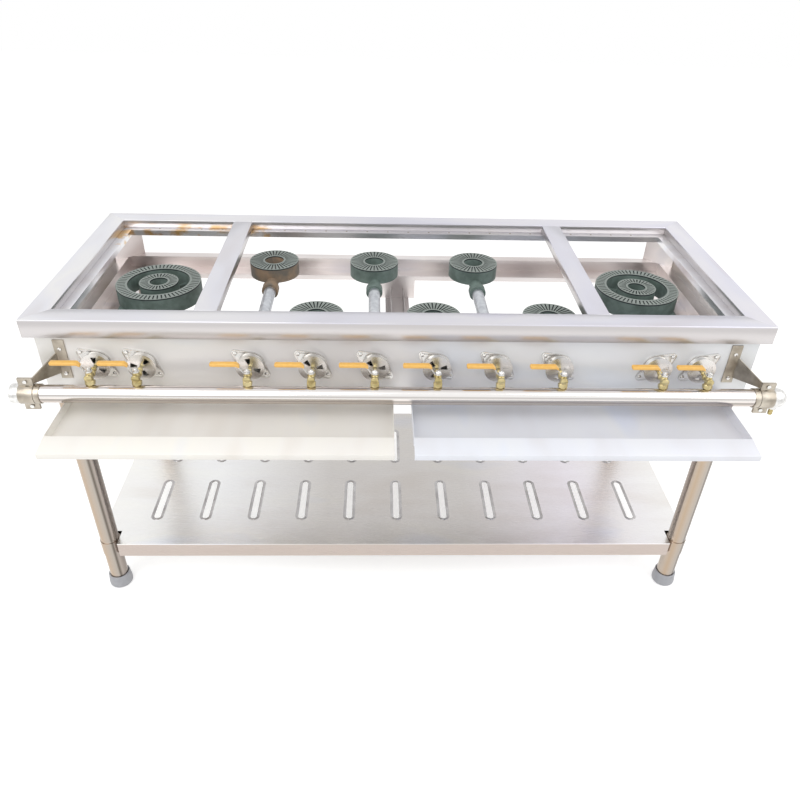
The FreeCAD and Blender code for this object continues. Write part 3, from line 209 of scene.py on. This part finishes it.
def reflectionBandedTube(name, across, stops, roughLow, roughHigh):
    # drawn and polished tube: long soft light and dark bands run its whole length, set by which way
    # each face turns, a painted reflection
    material, tree, shader, place = newMaterial(name)
    facing = addNode(tree, "ShaderNodeSeparateXYZ",
                     links={"Vector": addNode(tree, "ShaderNodeTexCoord").outputs["Normal"]})
    band = addNode(tree, "ShaderNodeMapRange", {"From Min": -1.0, "From Max": 1.0},
                   {"Value": facing.outputs[across]})
    tree.links.new(colourRamp(tree, band.outputs["Result"], stops), shader.inputs["Base Color"])
    drift = addNode(tree, "ShaderNodeTexNoise", {"Scale": 1 / (60 * mm), "Detail": 2.0},
                    {"Vector": place})
    tree.links.new(valueRange(tree, drift.outputs["Fac"], roughLow, roughHigh),
                   shader.inputs["Roughness"])
    shader.inputs["Metallic"].default_value = 1.0
    return material


def plainMetal(name, stops, speckSize, roughLow, roughHigh, metallic=1.0, bumpDepth=0.0):
    # machined, plated or cast metal with a slight speckle of the given real size
    material, tree, shader, place = newMaterial(name)
    speck = addNode(tree, "ShaderNodeTexNoise", {"Scale": 1 / speckSize, "Detail": 3.0},
                    {"Vector": place})
    tree.links.new(colourRamp(tree, speck.outputs["Fac"], stops), shader.inputs["Base Color"])
    tree.links.new(valueRange(tree, speck.outputs["Fac"], roughLow, roughHigh),
                   shader.inputs["Roughness"])
    if bumpDepth:
        bump = addNode(tree, "ShaderNodeBump", {"Strength": 0.5, "Distance": bumpDepth},
                       {"Height": speck.outputs["Fac"]})
        tree.links.new(bump.outputs["Normal"], shader.inputs["Normal"])
    shader.inputs["Metallic"].default_value = metallic
    return material


castBurner = {
    "crownTop": 869 * mm,        # the flame crowns' top face
    "slotDepth": 3.5 * mm,
    "slotBlend": 0.6 * mm,
    "crestBlend": 0.9 * mm,
    "patch": 34 * mm,
    "sand": 2.2 * mm,
    "sandDepth": 0.4 * mm,
    "rustyX": -354 * mm,         # the back row's left burner has begun to rust
    "rustyReach": 90 * mm,
    "rust": ((0.36, "#6B655C"), (0.62, "#927C66")),
}


def castIron(name, wallHex, patchHex, crestHex, slotHex):
    # sand-cast iron: matt, grainy, dark green-grey, drawn paler on the crown's top face and darker
    # in its slots
    material, tree, shader, place = newMaterial(name)
    patches = addNode(tree, "ShaderNodeTexNoise",
                      {"Scale": 1 / castBurner["patch"], "Detail": 4.0}, {"Vector": place})
    sand = addNode(tree, "ShaderNodeTexNoise",
                   {"Scale": 1 / castBurner["sand"], "Detail": 3.0}, {"Vector": place})
    clean = colourRamp(tree, patches.outputs["Fac"], ((0.38, wallHex), (0.62, patchHex)))
    rust = colourRamp(tree, patches.outputs["Fac"], castBurner["rust"])
    height = addNode(tree, "ShaderNodeSeparateXYZ", links={"Vector": place})
    onRusty = addNode(tree, "ShaderNodeMath",
                      {"operation": "COMPARE", 1: castBurner["rustyX"],
                       2: castBurner["rustyReach"]},
                      {0: height.outputs["X"]})
    wall = mixed(tree, "MIX", onRusty.outputs[0], clean, rust)
    onCrest = addNode(tree, "ShaderNodeMapRange",
                      {"From Min": castBurner["crownTop"] - castBurner["crestBlend"],
                       "From Max": castBurner["crownTop"] - 0.2 * mm},
                      {"Value": height.outputs["Z"]})
    slotFloor = castBurner["crownTop"] - castBurner["slotDepth"]
    inSlot = addNode(tree, "ShaderNodeMapRange",
                     {"From Min": slotFloor - castBurner["slotBlend"],
                      "From Max": slotFloor + 0.2 * mm}, {"Value": height.outputs["Z"]})
    slotted = mixed(tree, "MIX", inSlot.outputs[0], wall, slotHex)
    crested = mixed(tree, "MIX", onCrest.outputs[0], slotted, crestHex)
    tree.links.new(crested, shader.inputs["Base Color"])
    bump = addNode(tree, "ShaderNodeBump",
                   {"Strength": 0.5, "Distance": castBurner["sandDepth"]},
                   {"Height": sand.outputs["Fac"]})
    tree.links.new(bump.outputs["Normal"], shader.inputs["Normal"])
    shader.inputs["Metallic"].default_value = 0.0
    shader.inputs["Roughness"].default_value = 0.58
    return material


def mouldedPlastic(name, hexText, roughness, coat=0.0):
    # moulded plastic or dipped vinyl: one colour, soft sheen
    material, tree, shader, place = newMaterial(name)
    mottle = addNode(tree, "ShaderNodeTexNoise", {"Scale": 1 / (9 * mm), "Detail": 2.0},
                     {"Vector": place})
    base = linearColour(hexText)
    ramp = addNode(tree, "ShaderNodeValToRGB", links={"Fac": mottle.outputs["Fac"]})
    ramp.color_ramp.elements[0].color = [c * 0.86 for c in base[:3]] + [1]
    ramp.color_ramp.elements[1].color = [min(1, c * 1.12) for c in base[:3]] + [1]
    tree.links.new(ramp.outputs["Color"], shader.inputs["Base Color"])
    shader.inputs["Roughness"].default_value = roughness
    shader.inputs["Coat Weight"].default_value = coat
    return material


panelStops = ((0.30, "#E9E8E6"), (0.46, "#F0EFEF"), (0.60, "#F4F3F1"), (0.74, "#EDF0F4"))
sheetStops = ((0.30, "#DDDADC"), (0.46, "#E6E6EB"), (0.60, "#EDECEC"), (0.74, "#E2E1EB"))
bodyStops = ((0.30, "#D2CDC9"), (0.46, "#DDDCDB"), (0.60, "#E6E1DA"), (0.74, "#D6DBE3"))
trayStops = ((0.30, "#F1EEEA"), (0.46, "#F7F6F4"), (0.60, "#F9F8F4"), (0.74, "#F2F4F8"))
# painted reflections on the pipe and the legs: light and dark bands by which way the surface faces
pipeReflectionStops = ((0.05, "#B9AEA6"), (0.30, "#C9BFB8"), (0.44, "#8F8985"), (0.50, "#DAD3CE"),
             (0.62, "#EDE9E6"), (0.69, "#C4BEBA"), (0.75, "#EFEDEB"), (0.90, "#F6F3F1"),
             (1.0, "#CFC8C5"))
tubeReflectionStops = ((0.02, "#B8ADA1"), (0.25, "#B5A18C"), (0.45, "#B5A89B"), (0.66, "#ADA59D"),
             (0.76, "#655E56"), (0.86, "#A69D96"), (1.0, "#90867F"))
warmStops = ((0.30, "#D0C6C3"), (0.46, "#DED7D5"), (0.60, "#E8E2E0"), (0.74, "#D6D3D7"))
# painted reflections, left end to right end: panel and rims dip darker mid-way, trays go warm on
# the left and cool on the right, the shelf darkens in the middle where it mirrors the trays above
panelReflectionTint = ((0.0, "#FFFEFB"), (0.45, "#ECEAEB"), (0.75, "#FAFCFF"), (1.0, "#F9FCFF"))
rimReflectionTint = ((0.0, "#FFFFFF"), (0.5, "#ECEBF0"), (1.0, "#FAF9FF"))
trayReflectionTint = ((0.0, "#FFFDF9"), (0.49, "#F8F6F3"), (0.51, "#F1F5FF"), (1.0, "#F4F6FF"))
shelfReflectionTint = ((0.0, "#FFFFFF"), (0.18, "#F6F7FA"), (0.38, "#D0CDCC"), (0.62, "#D0CDCC"),
             (0.82, "#EFEBF4"), (1.0, "#FFFFFF"))
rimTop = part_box("top_rim_front")[1].z
finish = {
    # rims and shelf: faces below the top face get the darker fold colour, a painted shade
    "rimX": brushedStainless("brushedStainlessAlongRim", "X", sheetStops, 0.26, 0.34,
                             rimReflectionTint, paintedShadeBelowZ=rimTop - 3 * mm, paintedShadeHex="#CDC9C9"),
    "rimY": brushedStainless("brushedStainlessAcrossRim", "Y", sheetStops, 0.26, 0.34,
                             rimReflectionTint, paintedShadeBelowZ=rimTop - 3 * mm, paintedShadeHex="#CDC9C9"),
    "ledge": stainedLedge("brushedStainlessLedge"),
    "panel": brushedStainless("satinStainlessPanel", "X", panelStops, 0.34, 0.44, panelReflectionTint,
                              metallic=0.35),
    "side": brushedStainless("satinStainlessSide", "Y", bodyStops, 0.26, 0.38),
    "inner": brushedStainless("warmStainlessRail", "X", warmStops, 0.24, 0.38),
    "tray": brushedStainless("stainlessTray", "Y", trayStops, 0.36, 0.50, trayReflectionTint,
                             metallic=0.15),
    "shelf": brushedStainless("stainlessShelf", "X", trayStops, 0.20, 0.32, shelfReflectionTint,
                              paintedShadeBelowZ=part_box("lower_shelf")[1].z - 3 * mm),
    "tube": reflectionBandedTube("drawnStainlessTube", "X", tubeReflectionStops, 0.16, 0.26),
    "pipe": reflectionBandedTube("polishedSteelPipe", "Z", pipeReflectionStops, 0.10, 0.20),
    "polished": plainMetal("polishedCasting", ((0.3, "#D2D0CD"), (0.7, "#E0DEDB")), 60 * mm,
                           0.22, 0.27),
    "shutter": plainMetal("polishedShutterDisc", ((0.3, "#DAD7D3"), (0.7, "#E6E4E1")), 60 * mm,
                          0.24, 0.28),
    "screw": plainMetal("brightZincScrew", ((0.3, "#D0CFCC"), (0.7, "#EDECEA")), 3 * mm, 0.10, 0.2),
    "galvanised": plainMetal("galvanisedIron", ((0.3, "#CFCECC"), (0.7, "#EFEEEC")), 6 * mm,
                             0.28, 0.44, bumpDepth=0.2 * mm),
    # the slot lips are drawn darker than the shelf they are pressed from, a painted shade outlining
    # each slot
    "shadedSlotLip": plainMetal("shadedPressedSlotLip", ((0.3, "#A3A0A0"), (0.7, "#C6C4C4")), 40 * mm,
                             0.20, 0.30),
    "feedPipe": plainMetal("whitenedSteelPipe", ((0.3, "#B9BCC2"), (0.7, "#D9DCE0")), 14 * mm,
                           0.28, 0.42, metallic=0.85),
    "strap": plainMetal("oliveZincStrap", ((0.3, "#A0978A"), (0.7, "#C8C0B3")), 24 * mm, 0.24, 0.4),
    "brass": plainMetal("turnedBrass", ((0.3, "#B0A06E"), (0.7, "#D8CA9C")), 30 * mm, 0.20, 0.30),
    "iron": castIron("castIronGreenGrey", "#56655F", "#6F7F79", "#8D9590", "#20272A"),
    "grip": mouldedPlastic("orangeVinylGrip", "#F9C063", 0.34, 0.3),
    "foot": mouldedPlastic("greyMouldedFoot", "#B0B1B6", 0.42),
}
print("finishes made:", len(finish))

nodeFinish = {
    "top_rim_front": "rimX", "top_rim_back": "rimX", "top_rim_left": "rimY",
    "top_rim_right": "rimY", "grate_ledges": "ledge", "cross_bars": "rimY",
    "control_panel": "panel", "side_panel_left": "side", "side_panel_right": "side",
    "lower_rails": "inner", "corner_gussets": "inner", "centre_support": "inner",
    "centre_runner": "rimY", "tray_runners": "rimY", "legs": "tube", "foot_caps": "foot",
    "lower_shelf": "shelf", "shelf_sleeves": "tube", "set_screws": "screw",
    "manifold_pipe": "pipe", "pipe_end_cap": "galvanised", "pipe_collars": "strap",
    "inlet_elbow": "galvanised", "hose_tail": "brass", "pipe_brackets": "strap",
    "pipe_clamps": "strap", "bracket_screws": "screw", "valve_bodies": "brass",
    "injectors": "brass", "mixer_flanges": "polished", "flange_screws": "screw",
    "burner_pipes": "feedPipe", "double_burner_left": "iron", "double_burner_right": "iron",
    "single_burners_back": "iron", "single_burners_front": "iron",
    "drip_tray_left": "tray", "drip_tray_right": "tray",
}
for number in range(1, 11):
    nodeFinish[f"valve_handle_{number}"] = "grip"
    nodeFinish[f"air_shutter_{number}"] = "shutter"


def dressNode(nodeName, material):
    mesh = cadNodes[nodeName].data
    mesh.materials.clear()
    mesh.materials.append(material)


for nodeName, finishName in nodeFinish.items():
    dressNode(nodeName, finish[finishName])
print("CAD nodes dressed:", len(nodeFinish))


towardsBack = (-math.pi / 2, 0, 0)   # turns a piece's own +Z to +Y


def clearPicks():
    if bpy.context.object and bpy.context.object.mode != "OBJECT":
        bpy.ops.object.mode_set(mode="OBJECT")
    bpy.ops.object.select_all(action="DESELECT")


def clearElements(piece):
    bpy.ops.object.mode_set(mode="OBJECT")
    for part in (piece.data.vertices, piece.data.edges, piece.data.polygons):
        part.foreach_set("select", [False] * len(part))


def pickFaces(piece, wanted):
    # wanted(centre, normal) in the piece's own space; leaves the piece in edit mode
    clearElements(piece)
    for face in piece.data.polygons:
        face.select = wanted(face.center, face.normal)
    bpy.ops.object.mode_set(mode="EDIT")
    bpy.ops.mesh.select_mode(type="FACE")


def pickVerts(piece, wanted):
    clearElements(piece)
    for vert in piece.data.vertices:
        vert.select = wanted(vert.co)
    bpy.ops.object.mode_set(mode="EDIT")
    bpy.ops.mesh.select_mode(type="VERT")


def turned(name, profile, sides=32):
    # a turned solid along +Z from (radius, height) steps: a cylinder whose top is drawn up and in
    clearPicks()
    (radius, low), (_, high) = profile[0], profile[1]
    bpy.ops.mesh.primitive_cylinder_add(vertices=sides, radius=radius, depth=high - low,
                                        location=(0, 0, (low + high) / 2))
    piece = bpy.context.object
    piece.name = name
    bpy.ops.object.transform_apply(location=True)
    pickFaces(piece, lambda centre, normal: normal.z > 0.9)
    reach = radius
    for step, (nextRadius, nextHeight) in enumerate(profile[1:]):
        if step:
            bpy.ops.mesh.extrude_region_move(
                TRANSFORM_OT_translate={"value": (0, 0, nextHeight - profile[step][1])})
        factor = nextRadius / reach
        bpy.ops.transform.resize(value=(factor, factor, 1))
        reach = nextRadius
    bpy.ops.mesh.select_all(action="SELECT")
    bpy.ops.mesh.normals_make_consistent(inside=False)
    bpy.ops.object.mode_set(mode="OBJECT")
    return piece


def pickPiece(piece):
    clearPicks()
    bpy.context.view_layer.objects.active = piece
    piece.select_set(True)


def softenEdges(piece, width, segments=2, angle=35):
    pickPiece(piece)
    bevel = piece.modifiers.new("edgeBevel", "BEVEL")
    bevel.width = width
    bevel.segments = segments
    bevel.limit_method = "ANGLE"
    bevel.angle_limit = math.radians(angle)
    bpy.ops.object.modifier_apply(modifier=bevel.name)


def joined(name, pieces):
    clearPicks()
    for piece in pieces:
        piece.select_set(True)
    bpy.context.view_layer.objects.active = pieces[0]
    if len(pieces) > 1:
        bpy.ops.object.join()
    whole = bpy.context.object
    whole.name = name
    return whole


def putPiece(piece, spot=(0, 0, 0), turn=(0, 0, 0)):
    pickPiece(piece)
    piece.rotation_euler = turn
    piece.location = spot
    bpy.ops.object.transform_apply(location=True, rotation=True, scale=True)
    return piece


def finishPiece(piece, body, finishName, smooth=35):
    pickPiece(piece)
    bpy.ops.object.shade_smooth_by_angle(angle=math.radians(smooth))
    piece.data.materials.clear()
    piece.data.materials.append(finish[finishName])
    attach(piece, body)
    return piece


def copyOf(piece, name):
    twin = piece.copy()
    twin.data = piece.data.copy()
    twin.name = name
    bpy.context.scene.collection.objects.link(twin)
    return twin


def softCopy(nodeName, pieceName, width):
    # the folded sheet again, with the small round that a press brake leaves on each bend
    twin = cadNodes[nodeName].copy()
    twin.data = cadNodes[nodeName].data.copy()
    twin.parent = None
    for key in list(twin.keys()):
        del twin[key]
    twin.name = pieceName
    bpy.context.scene.collection.objects.link(twin)
    pickPiece(twin)
    bpy.ops.object.mode_set(mode="EDIT")
    bpy.ops.mesh.select_all(action="SELECT")
    bpy.ops.mesh.remove_doubles(threshold=0.01 * mm)
    bpy.ops.mesh.dissolve_limited(angle_limit=math.radians(1))
    bpy.ops.object.mode_set(mode="OBJECT")
    softenEdges(twin, width)
    return twin


lever = {
    "hubRadius": 8.5 * mm,
    "strapThick": 1.8 * mm,
    "strapWidth": 9 * mm,
    "rise": 21 * mm,
    "rampReach": 22 * mm,        # from the pivot to where the strap runs level
    "gripStart": 17 * mm,
    "gripEnd": 80 * mm,
    "gripWide": 14 * mm,
    "gripHigh": 8 * mm,
    "gripRound": 3.4 * mm,
    "bendReach": 7 * mm,         # how far the grip follows the ramp, and how far it drops there
    "bendDrop": 5.5 * mm,
    "tipReach": 3 * mm,
    "strapTail": 16 * mm,        # the level run of strap inside the grip
    "hubAboveBox": 8.3 * mm,     # the strap's underside over the node's lowest point
}


def leverGrip():
    # vinyl dipped over the strap: level along its length, then bent down over the ramp
    clearPicks()
    length = lever["gripEnd"] - lever["rampReach"]
    level = lever["rise"] + lever["strapThick"] / 2
    bpy.ops.mesh.primitive_cube_add(
        size=1, location=(-lever["rampReach"] - length / 2, 0, level),
        scale=(length, lever["gripWide"], lever["gripHigh"]))
    grip = bpy.context.object
    bpy.ops.object.transform_apply(location=True, scale=True)
    pickFaces(grip, lambda centre, normal: normal.x > 0.9)
    bpy.ops.mesh.extrude_region_move(TRANSFORM_OT_translate={"value": (lever["bendReach"], 0,
                                                                -lever["bendDrop"])})
    bpy.ops.transform.resize(value=(1, 0.78, 0.8))
    pickFaces(grip, lambda centre, normal: normal.x < -0.9)
    bpy.ops.mesh.extrude_region_move(TRANSFORM_OT_translate={"value": (-lever["tipReach"], 0, 0)})
    bpy.ops.transform.resize(value=(1, 0.72, 0.8))
    bpy.ops.object.mode_set(mode="OBJECT")
    softenEdges(grip, lever["gripRound"], segments=4, angle=28)
    return grip


def leverStrap():
    clearPicks()
    thick, wide = lever["strapThick"], lever["strapWidth"]
    bpy.ops.mesh.primitive_cube_add(size=1, location=(-lever["hubRadius"] / 2, 0, thick / 2),
                                    scale=(lever["hubRadius"], wide, thick))
    strap = bpy.context.object
    bpy.ops.object.transform_apply(location=True, scale=True)
    pickFaces(strap, lambda centre, normal: normal.x < -0.9)
    ramp = lever["rampReach"] - lever["hubRadius"]
    bpy.ops.mesh.extrude_region_move(TRANSFORM_OT_translate={"value": (-ramp, 0, lever["rise"])})
    bpy.ops.mesh.extrude_region_move(TRANSFORM_OT_translate={"value": (-lever["strapTail"], 0, 0)})
    bpy.ops.object.mode_set(mode="OBJECT")
    softenEdges(strap, 0.5 * mm)
    hub = turned("hub", ((lever["hubRadius"], 0), (lever["hubRadius"], thick * 0.7),
                         (lever["hubRadius"] * 0.9, thick)))
    return joined("strap", [strap, hub])


def leverNut():
    # hexagon nut, washer and the stem's end above it
    thick = lever["strapThick"]
    washer = turned("washer", ((7 * mm, thick), (7 * mm, thick + 1 * mm)))
    nut = turned("nut", ((6.2 * mm, thick + 1 * mm), (6.6 * mm, thick + 1.8 * mm),
                         (6.6 * mm, thick + 4.6 * mm), (5.6 * mm, thick + 5.4 * mm)), sides=6)
    stem = turned("stem", ((3 * mm, -8 * mm), (3 * mm, thick + 6.2 * mm),
                           (2.3 * mm, thick + 6.9 * mm)))
    return joined("nut", [washer, nut, stem])


def makeLevers():
    grip, strap, nut = leverGrip(), leverStrap(), leverNut()
    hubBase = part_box("valve_handle_1")[0].z + lever["hubAboveBox"]
    for number in range(1, 11):
        x, y, _ = jointAt[f"valve_{number}_turn"]
        body, node = f"handle_{number}", f"valve_handle_{number}"
        for part, label, finishName in ((grip, "leverGrip", "grip"), (strap, "leverStrap", "screw"),
                                        (nut, "leverNut", "screw")):
            piece = putPiece(copyOf(part, f"{label}_{number}"), (x, y, hubBase))
            finishPiece(piece, body, finishName)
            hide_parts(node)
    for part in (grip, strap, nut):
        bpy.data.objects.remove(part)
    print("levers made: 10")


makeLevers()


cock = {
    "tilt": 19,                  # degrees that the tapping leans back from upright
    "fromPipe": 42.9 * mm,       # manifold axis to valve centre
}


def makeCocks():
    # brass cock: tapered barrel with a collar at each end, a boss for the stem and a hexagon union
    barrel = turned("barrel", ((7 * mm, -15 * mm), (9 * mm, -14 * mm), (9 * mm, -10 * mm),
                               (7.6 * mm, -9 * mm), (8.6 * mm, 0), (7.6 * mm, 9 * mm),
                               (9.4 * mm, 10 * mm), (9.4 * mm, 14 * mm), (6 * mm, 14.6 * mm)))
    putPiece(barrel, turn=towardsBack)
    boss = turned("boss", ((9 * mm, 0), (8.4 * mm, 7 * mm), (6.8 * mm, 8 * mm),
                           (6.8 * mm, 12 * mm)))
    tube = turned("tube", ((5.4 * mm, 14 * mm), (5.4 * mm, 24 * mm), (6.6 * mm, 25 * mm),
                           (6.6 * mm, 29 * mm), (4.6 * mm, 30 * mm), (4.6 * mm, 45.5 * mm)))
    putPiece(tube, turn=towardsBack)
    union = turned("union", ((10.8 * mm, 22 * mm), (11.8 * mm, 23 * mm), (11.8 * mm, 32 * mm),
                             (10.6 * mm, 33 * mm)), sides=6)
    foot = turned("foot", ((7.2 * mm, 19 * mm), (7.2 * mm, 22 * mm)))
    neck = turned("neck", ((9 * mm, 32.5 * mm), (8 * mm, 35 * mm), (8 * mm, 43 * mm)))
    standing = joined("standing", [union, foot, neck])
    lean = math.radians(cock["tilt"])
    putPiece(standing, (0, -cock["fromPipe"] * math.sin(lean), -cock["fromPipe"] * math.cos(lean)),
             (-lean, 0, 0))
    pattern = joined("cock", [barrel, boss, tube, standing])
    softenEdges(pattern, 0.5 * mm)
    for number in range(1, 11):
        x, y, z = jointAt[f"valve_{number}_turn"]
        piece = putPiece(copyOf(pattern, f"brassCock_{number}"), (x, y, z))
        finishPiece(piece, "frame", "brass")
        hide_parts("valve_bodies", "injectors")
    bpy.data.objects.remove(pattern)
    print("cocks made: 10")


makeCocks()


drain = {
    "count": 11,
    "openRadius": 9.5 * mm,
    "lipRadius": 18 * mm,
    "lipHigh": 1.9 * mm,
    "margin": 106 * mm,
}


def makeSlotLips():
    # the pressed surround of each drain slot: a low flat-topped lip that rolls into the opening
    low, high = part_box("lower_shelf")
    pitch = (high.x - low.x) / (drain["count"] + 1)
    length = (high.y - low.y - drain["margin"] * 3) / 2
    straight = length - drain["openRadius"] * 2
    clearPicks()
    bpy.ops.mesh.primitive_circle_add(vertices=32, radius=drain["lipRadius"], fill_type="NGON")
    lip = bpy.context.object
    pickVerts(lip, lambda spot: spot.y > 0.1 * mm)
    bpy.ops.transform.translate(value=(0, straight, 0))
    bpy.ops.mesh.select_all(action="SELECT")
    for inset, rise in ((2 * mm, drain["lipHigh"]), (4.2 * mm, 0), (1.6 * mm, -1.2 * mm),
                        (1.0 * mm, -1.2 * mm)):
        bpy.ops.mesh.inset(thickness=inset, depth=0)
        bpy.ops.transform.translate(value=(0, 0, rise))
    bpy.ops.mesh.delete(type="FACE")
    bpy.ops.mesh.select_all(action="SELECT")
    bpy.ops.mesh.normals_make_consistent(inside=False)
    bpy.ops.object.mode_set(mode="OBJECT")
    lips = []
    for row in (0, 1):
        startY = low.y + drain["margin"] + (length + drain["margin"]) * row + drain["openRadius"]
        for step in range(drain["count"]):
            spot = (pitch * (step - (drain["count"] - 1) / 2), startY, high.z + 0.1 * mm)
            lips.append(putPiece(copyOf(lip, f"lip_{row}_{step}"), spot))
    bpy.data.objects.remove(lip)
    piece = joined("shelfSlotLips", lips)
    # the lips carry a darker grey than the shelf: a painted shade outline
    finishPiece(piece, "frame", "shadedSlotLip", smooth=60)
    print("slot lips made:", len(lips))


makeSlotLips()


def makeHoseTail():
    # barbed brass tail: three saw-tooth rings grip the hose
    low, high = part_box("hose_tail")
    middle = (low + high) / 2
    barbs = [(4.6 * mm, 0)]
    for step in range(3):
        barbs += [(5.9 * mm, (step * 5 + 4) * mm), (5.0 * mm, (step * 5 + 4.3) * mm)]
    barbs += [(6 * mm, 15 * mm), (6 * mm, 19 * mm)]
    tail = turned("barbedHoseTail", barbs)
    putPiece(tail, (middle.x, middle.y, low.z))
    finishPiece(tail, "frame", "brass")
    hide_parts("hose_tail")
    print("hose tail made")


weld = {
    "radius": 3.2 * mm,
    "high": 0.25 * mm,
    "pitch": 62 * mm,
    "inFromBox": 14 * mm,        # from the ledge's outer edge, front and back
    "endMargin": 60 * mm,
    "seatAboveLip": 16 * mm,     # the ledge's top face over the lower edge of its lip
}


def makeSpotWelds():
    # the electrode's round marks along the ledge that carries the grates
    low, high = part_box("grate_ledges")
    topFace = low.z + weld["seatAboveLip"]
    dot = turned("weldDot", ((weld["radius"], 0), (weld["radius"] * 0.7, weld["high"])), sides=16)
    dots = []
    count = int((high.x - low.x - weld["endMargin"] * 2) / weld["pitch"])
    for y in (low.y + weld["inFromBox"], high.y - weld["inFromBox"]):
        for step in range(count):
            x = (step - (count - 1) / 2) * weld["pitch"]
            dots.append(putPiece(copyOf(dot, f"dot_{len(dots)}"), (x, y, topFace)))
    bpy.data.objects.remove(dot)
    piece = joined("ledgeSpotWelds", dots)
    finishPiece(piece, "frame", "strap")
    print("spot welds made:", len(dots))


makeHoseTail()
makeSpotWelds()


foldRound = {
    "top_rim_front": 0.7 * mm, "top_rim_back": 0.7 * mm, "top_rim_left": 0.7 * mm,
    "top_rim_right": 0.7 * mm, "cross_bars": 0.7 * mm, "drip_tray_left": 0.5 * mm,
    "drip_tray_right": 0.5 * mm, "pipe_end_cap": 2.0 * mm, "foot_caps": 1.6 * mm,
    "mixer_flanges": 0.8 * mm, "inlet_elbow": 1.0 * mm, "pipe_clamps": 0.6 * mm,
    "bracket_screws": 1.2 * mm, "flange_screws": 1.2 * mm,
}


def roundFolds():
    bodyOf = {"drip_tray_left": "tray_left", "drip_tray_right": "tray_right"}
    for nodeName, width in foldRound.items():
        piece = softCopy(nodeName, "rounded_" + nodeName, width)
        finishPiece(piece, bodyOf.get(nodeName, "frame"), nodeFinish[nodeName])
        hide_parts(nodeName)
    print("bends rounded:", len(foldRound))


roundFolds()


studio = {
    "floorHalf": 9.0,
    "floorHex": "#EDEDEC",
    "floorLift": 0.50,           # for camera and mirror rays only, so that the floor is white
    "skyLevel": 0.62,
    "lampSize": 2.6,
    "lamps": (("keyLamp", (-1.6, -1.9, 3.0), 46), ("fillLamp", (2.2, -1.2, 2.6), 26)),
    "aim": (0, 0.1, 0.7),
}


def seenDirectly(tree):
    # 1 for camera, glossy and transmission rays, 0 for the light that falls on the object
    ray = addNode(tree, "ShaderNodeLightPath")
    first = addNode(tree, "ShaderNodeMath", {"operation": "ADD"},
                    {0: ray.outputs["Is Camera Ray"], 1: ray.outputs["Is Glossy Ray"]})
    both = addNode(tree, "ShaderNodeMath", {"operation": "ADD", "use_clamp": True},
                   {0: first.outputs[0], 1: ray.outputs["Is Transmission Ray"]})
    return both.outputs[0]


def layFloor():
    bpy.ops.object.select_all(action="DESELECT")
    bpy.ops.mesh.primitive_plane_add(size=studio["floorHalf"] * 2)
    floor = bpy.context.object
    floor.name = "studioFloor"
    material, tree, shader, _ = newMaterial("paleStudioFloor")
    tree.nodes.remove(shader)
    surface = tree.nodes["Material Output"]
    paint = addNode(tree, "ShaderNodeBsdfDiffuse", {"Color": linearColour(studio["floorHex"])})
    strength = addNode(tree, "ShaderNodeMath", {"operation": "MULTIPLY", 1: studio["floorLift"]},
                       {0: seenDirectly(tree)})
    lift = addNode(tree, "ShaderNodeEmission", links={"Strength": strength.outputs[0]})
    total = addNode(tree, "ShaderNodeAddShader", links={0: paint.outputs[0], 1: lift.outputs[0]})
    tree.links.new(total.outputs[0], surface.inputs["Surface"])
    floor.data.materials.append(material)


def lightStudio():
    world = bpy.data.worlds.new("paleStudio")
    bpy.context.scene.world = world
    world.use_nodes = True
    tree = world.node_tree
    back = tree.nodes["Background"]
    back.inputs["Color"].default_value = (1, 1, 1, 1)
    strength = addNode(tree, "ShaderNodeMapRange",
                       {"To Min": studio["skyLevel"], "To Max": 1.0}, {"Value": seenDirectly(tree)})
    tree.links.new(strength.outputs["Result"], back.inputs["Strength"])
    for name, spot, power in studio["lamps"]:
        lamp = bpy.data.lights.new(name, "AREA")
        lamp.size = studio["lampSize"]
        lamp.energy = power
        holder = bpy.data.objects.new(name, lamp)
        bpy.context.scene.collection.objects.link(holder)
        holder.location = spot
        ray = Vector(studio["aim"]) - Vector(spot)
        holder.rotation_euler = ray.to_track_quat("-Z", "Y").to_euler()


camera = {
    "spot": (-0.065, -1.667, 1.693),
    "turn": 2.4,                 # degrees to the right of straight ahead
    "dip": 34.6,
    "roll": 1.7,
    "lens": 31.92,
    "sensor": 36,
}


def setCamera():
    turn, dip, roll = (math.radians(camera[key]) for key in ("turn", "dip", "roll"))
    ahead = Vector((math.sin(turn) * math.cos(dip), math.cos(turn) * math.cos(dip), -math.sin(dip)))
    level = Vector((math.cos(turn), -math.sin(turn), 0))
    plumb = level.cross(ahead)
    right = level * math.cos(roll) + plumb * math.sin(roll)
    up = plumb * math.cos(roll) - level * math.sin(roll)
    facing = Matrix((right, up, -ahead)).transposed().to_4x4()
    data = bpy.data.cameras.new("rangeCamera")
    data.lens = camera["lens"]
    data.sensor_width = camera["sensor"]
    holder = bpy.data.objects.new("rangeCamera", data)
    bpy.context.scene.collection.objects.link(holder)
    holder.matrix_world = Matrix.Translation(Vector(camera["spot"])) @ facing
    bpy.context.scene.camera = holder


layFloor()
lightStudio()
setCamera()
bpy.context.scene.view_settings.view_transform = "Standard"
print("studio set")
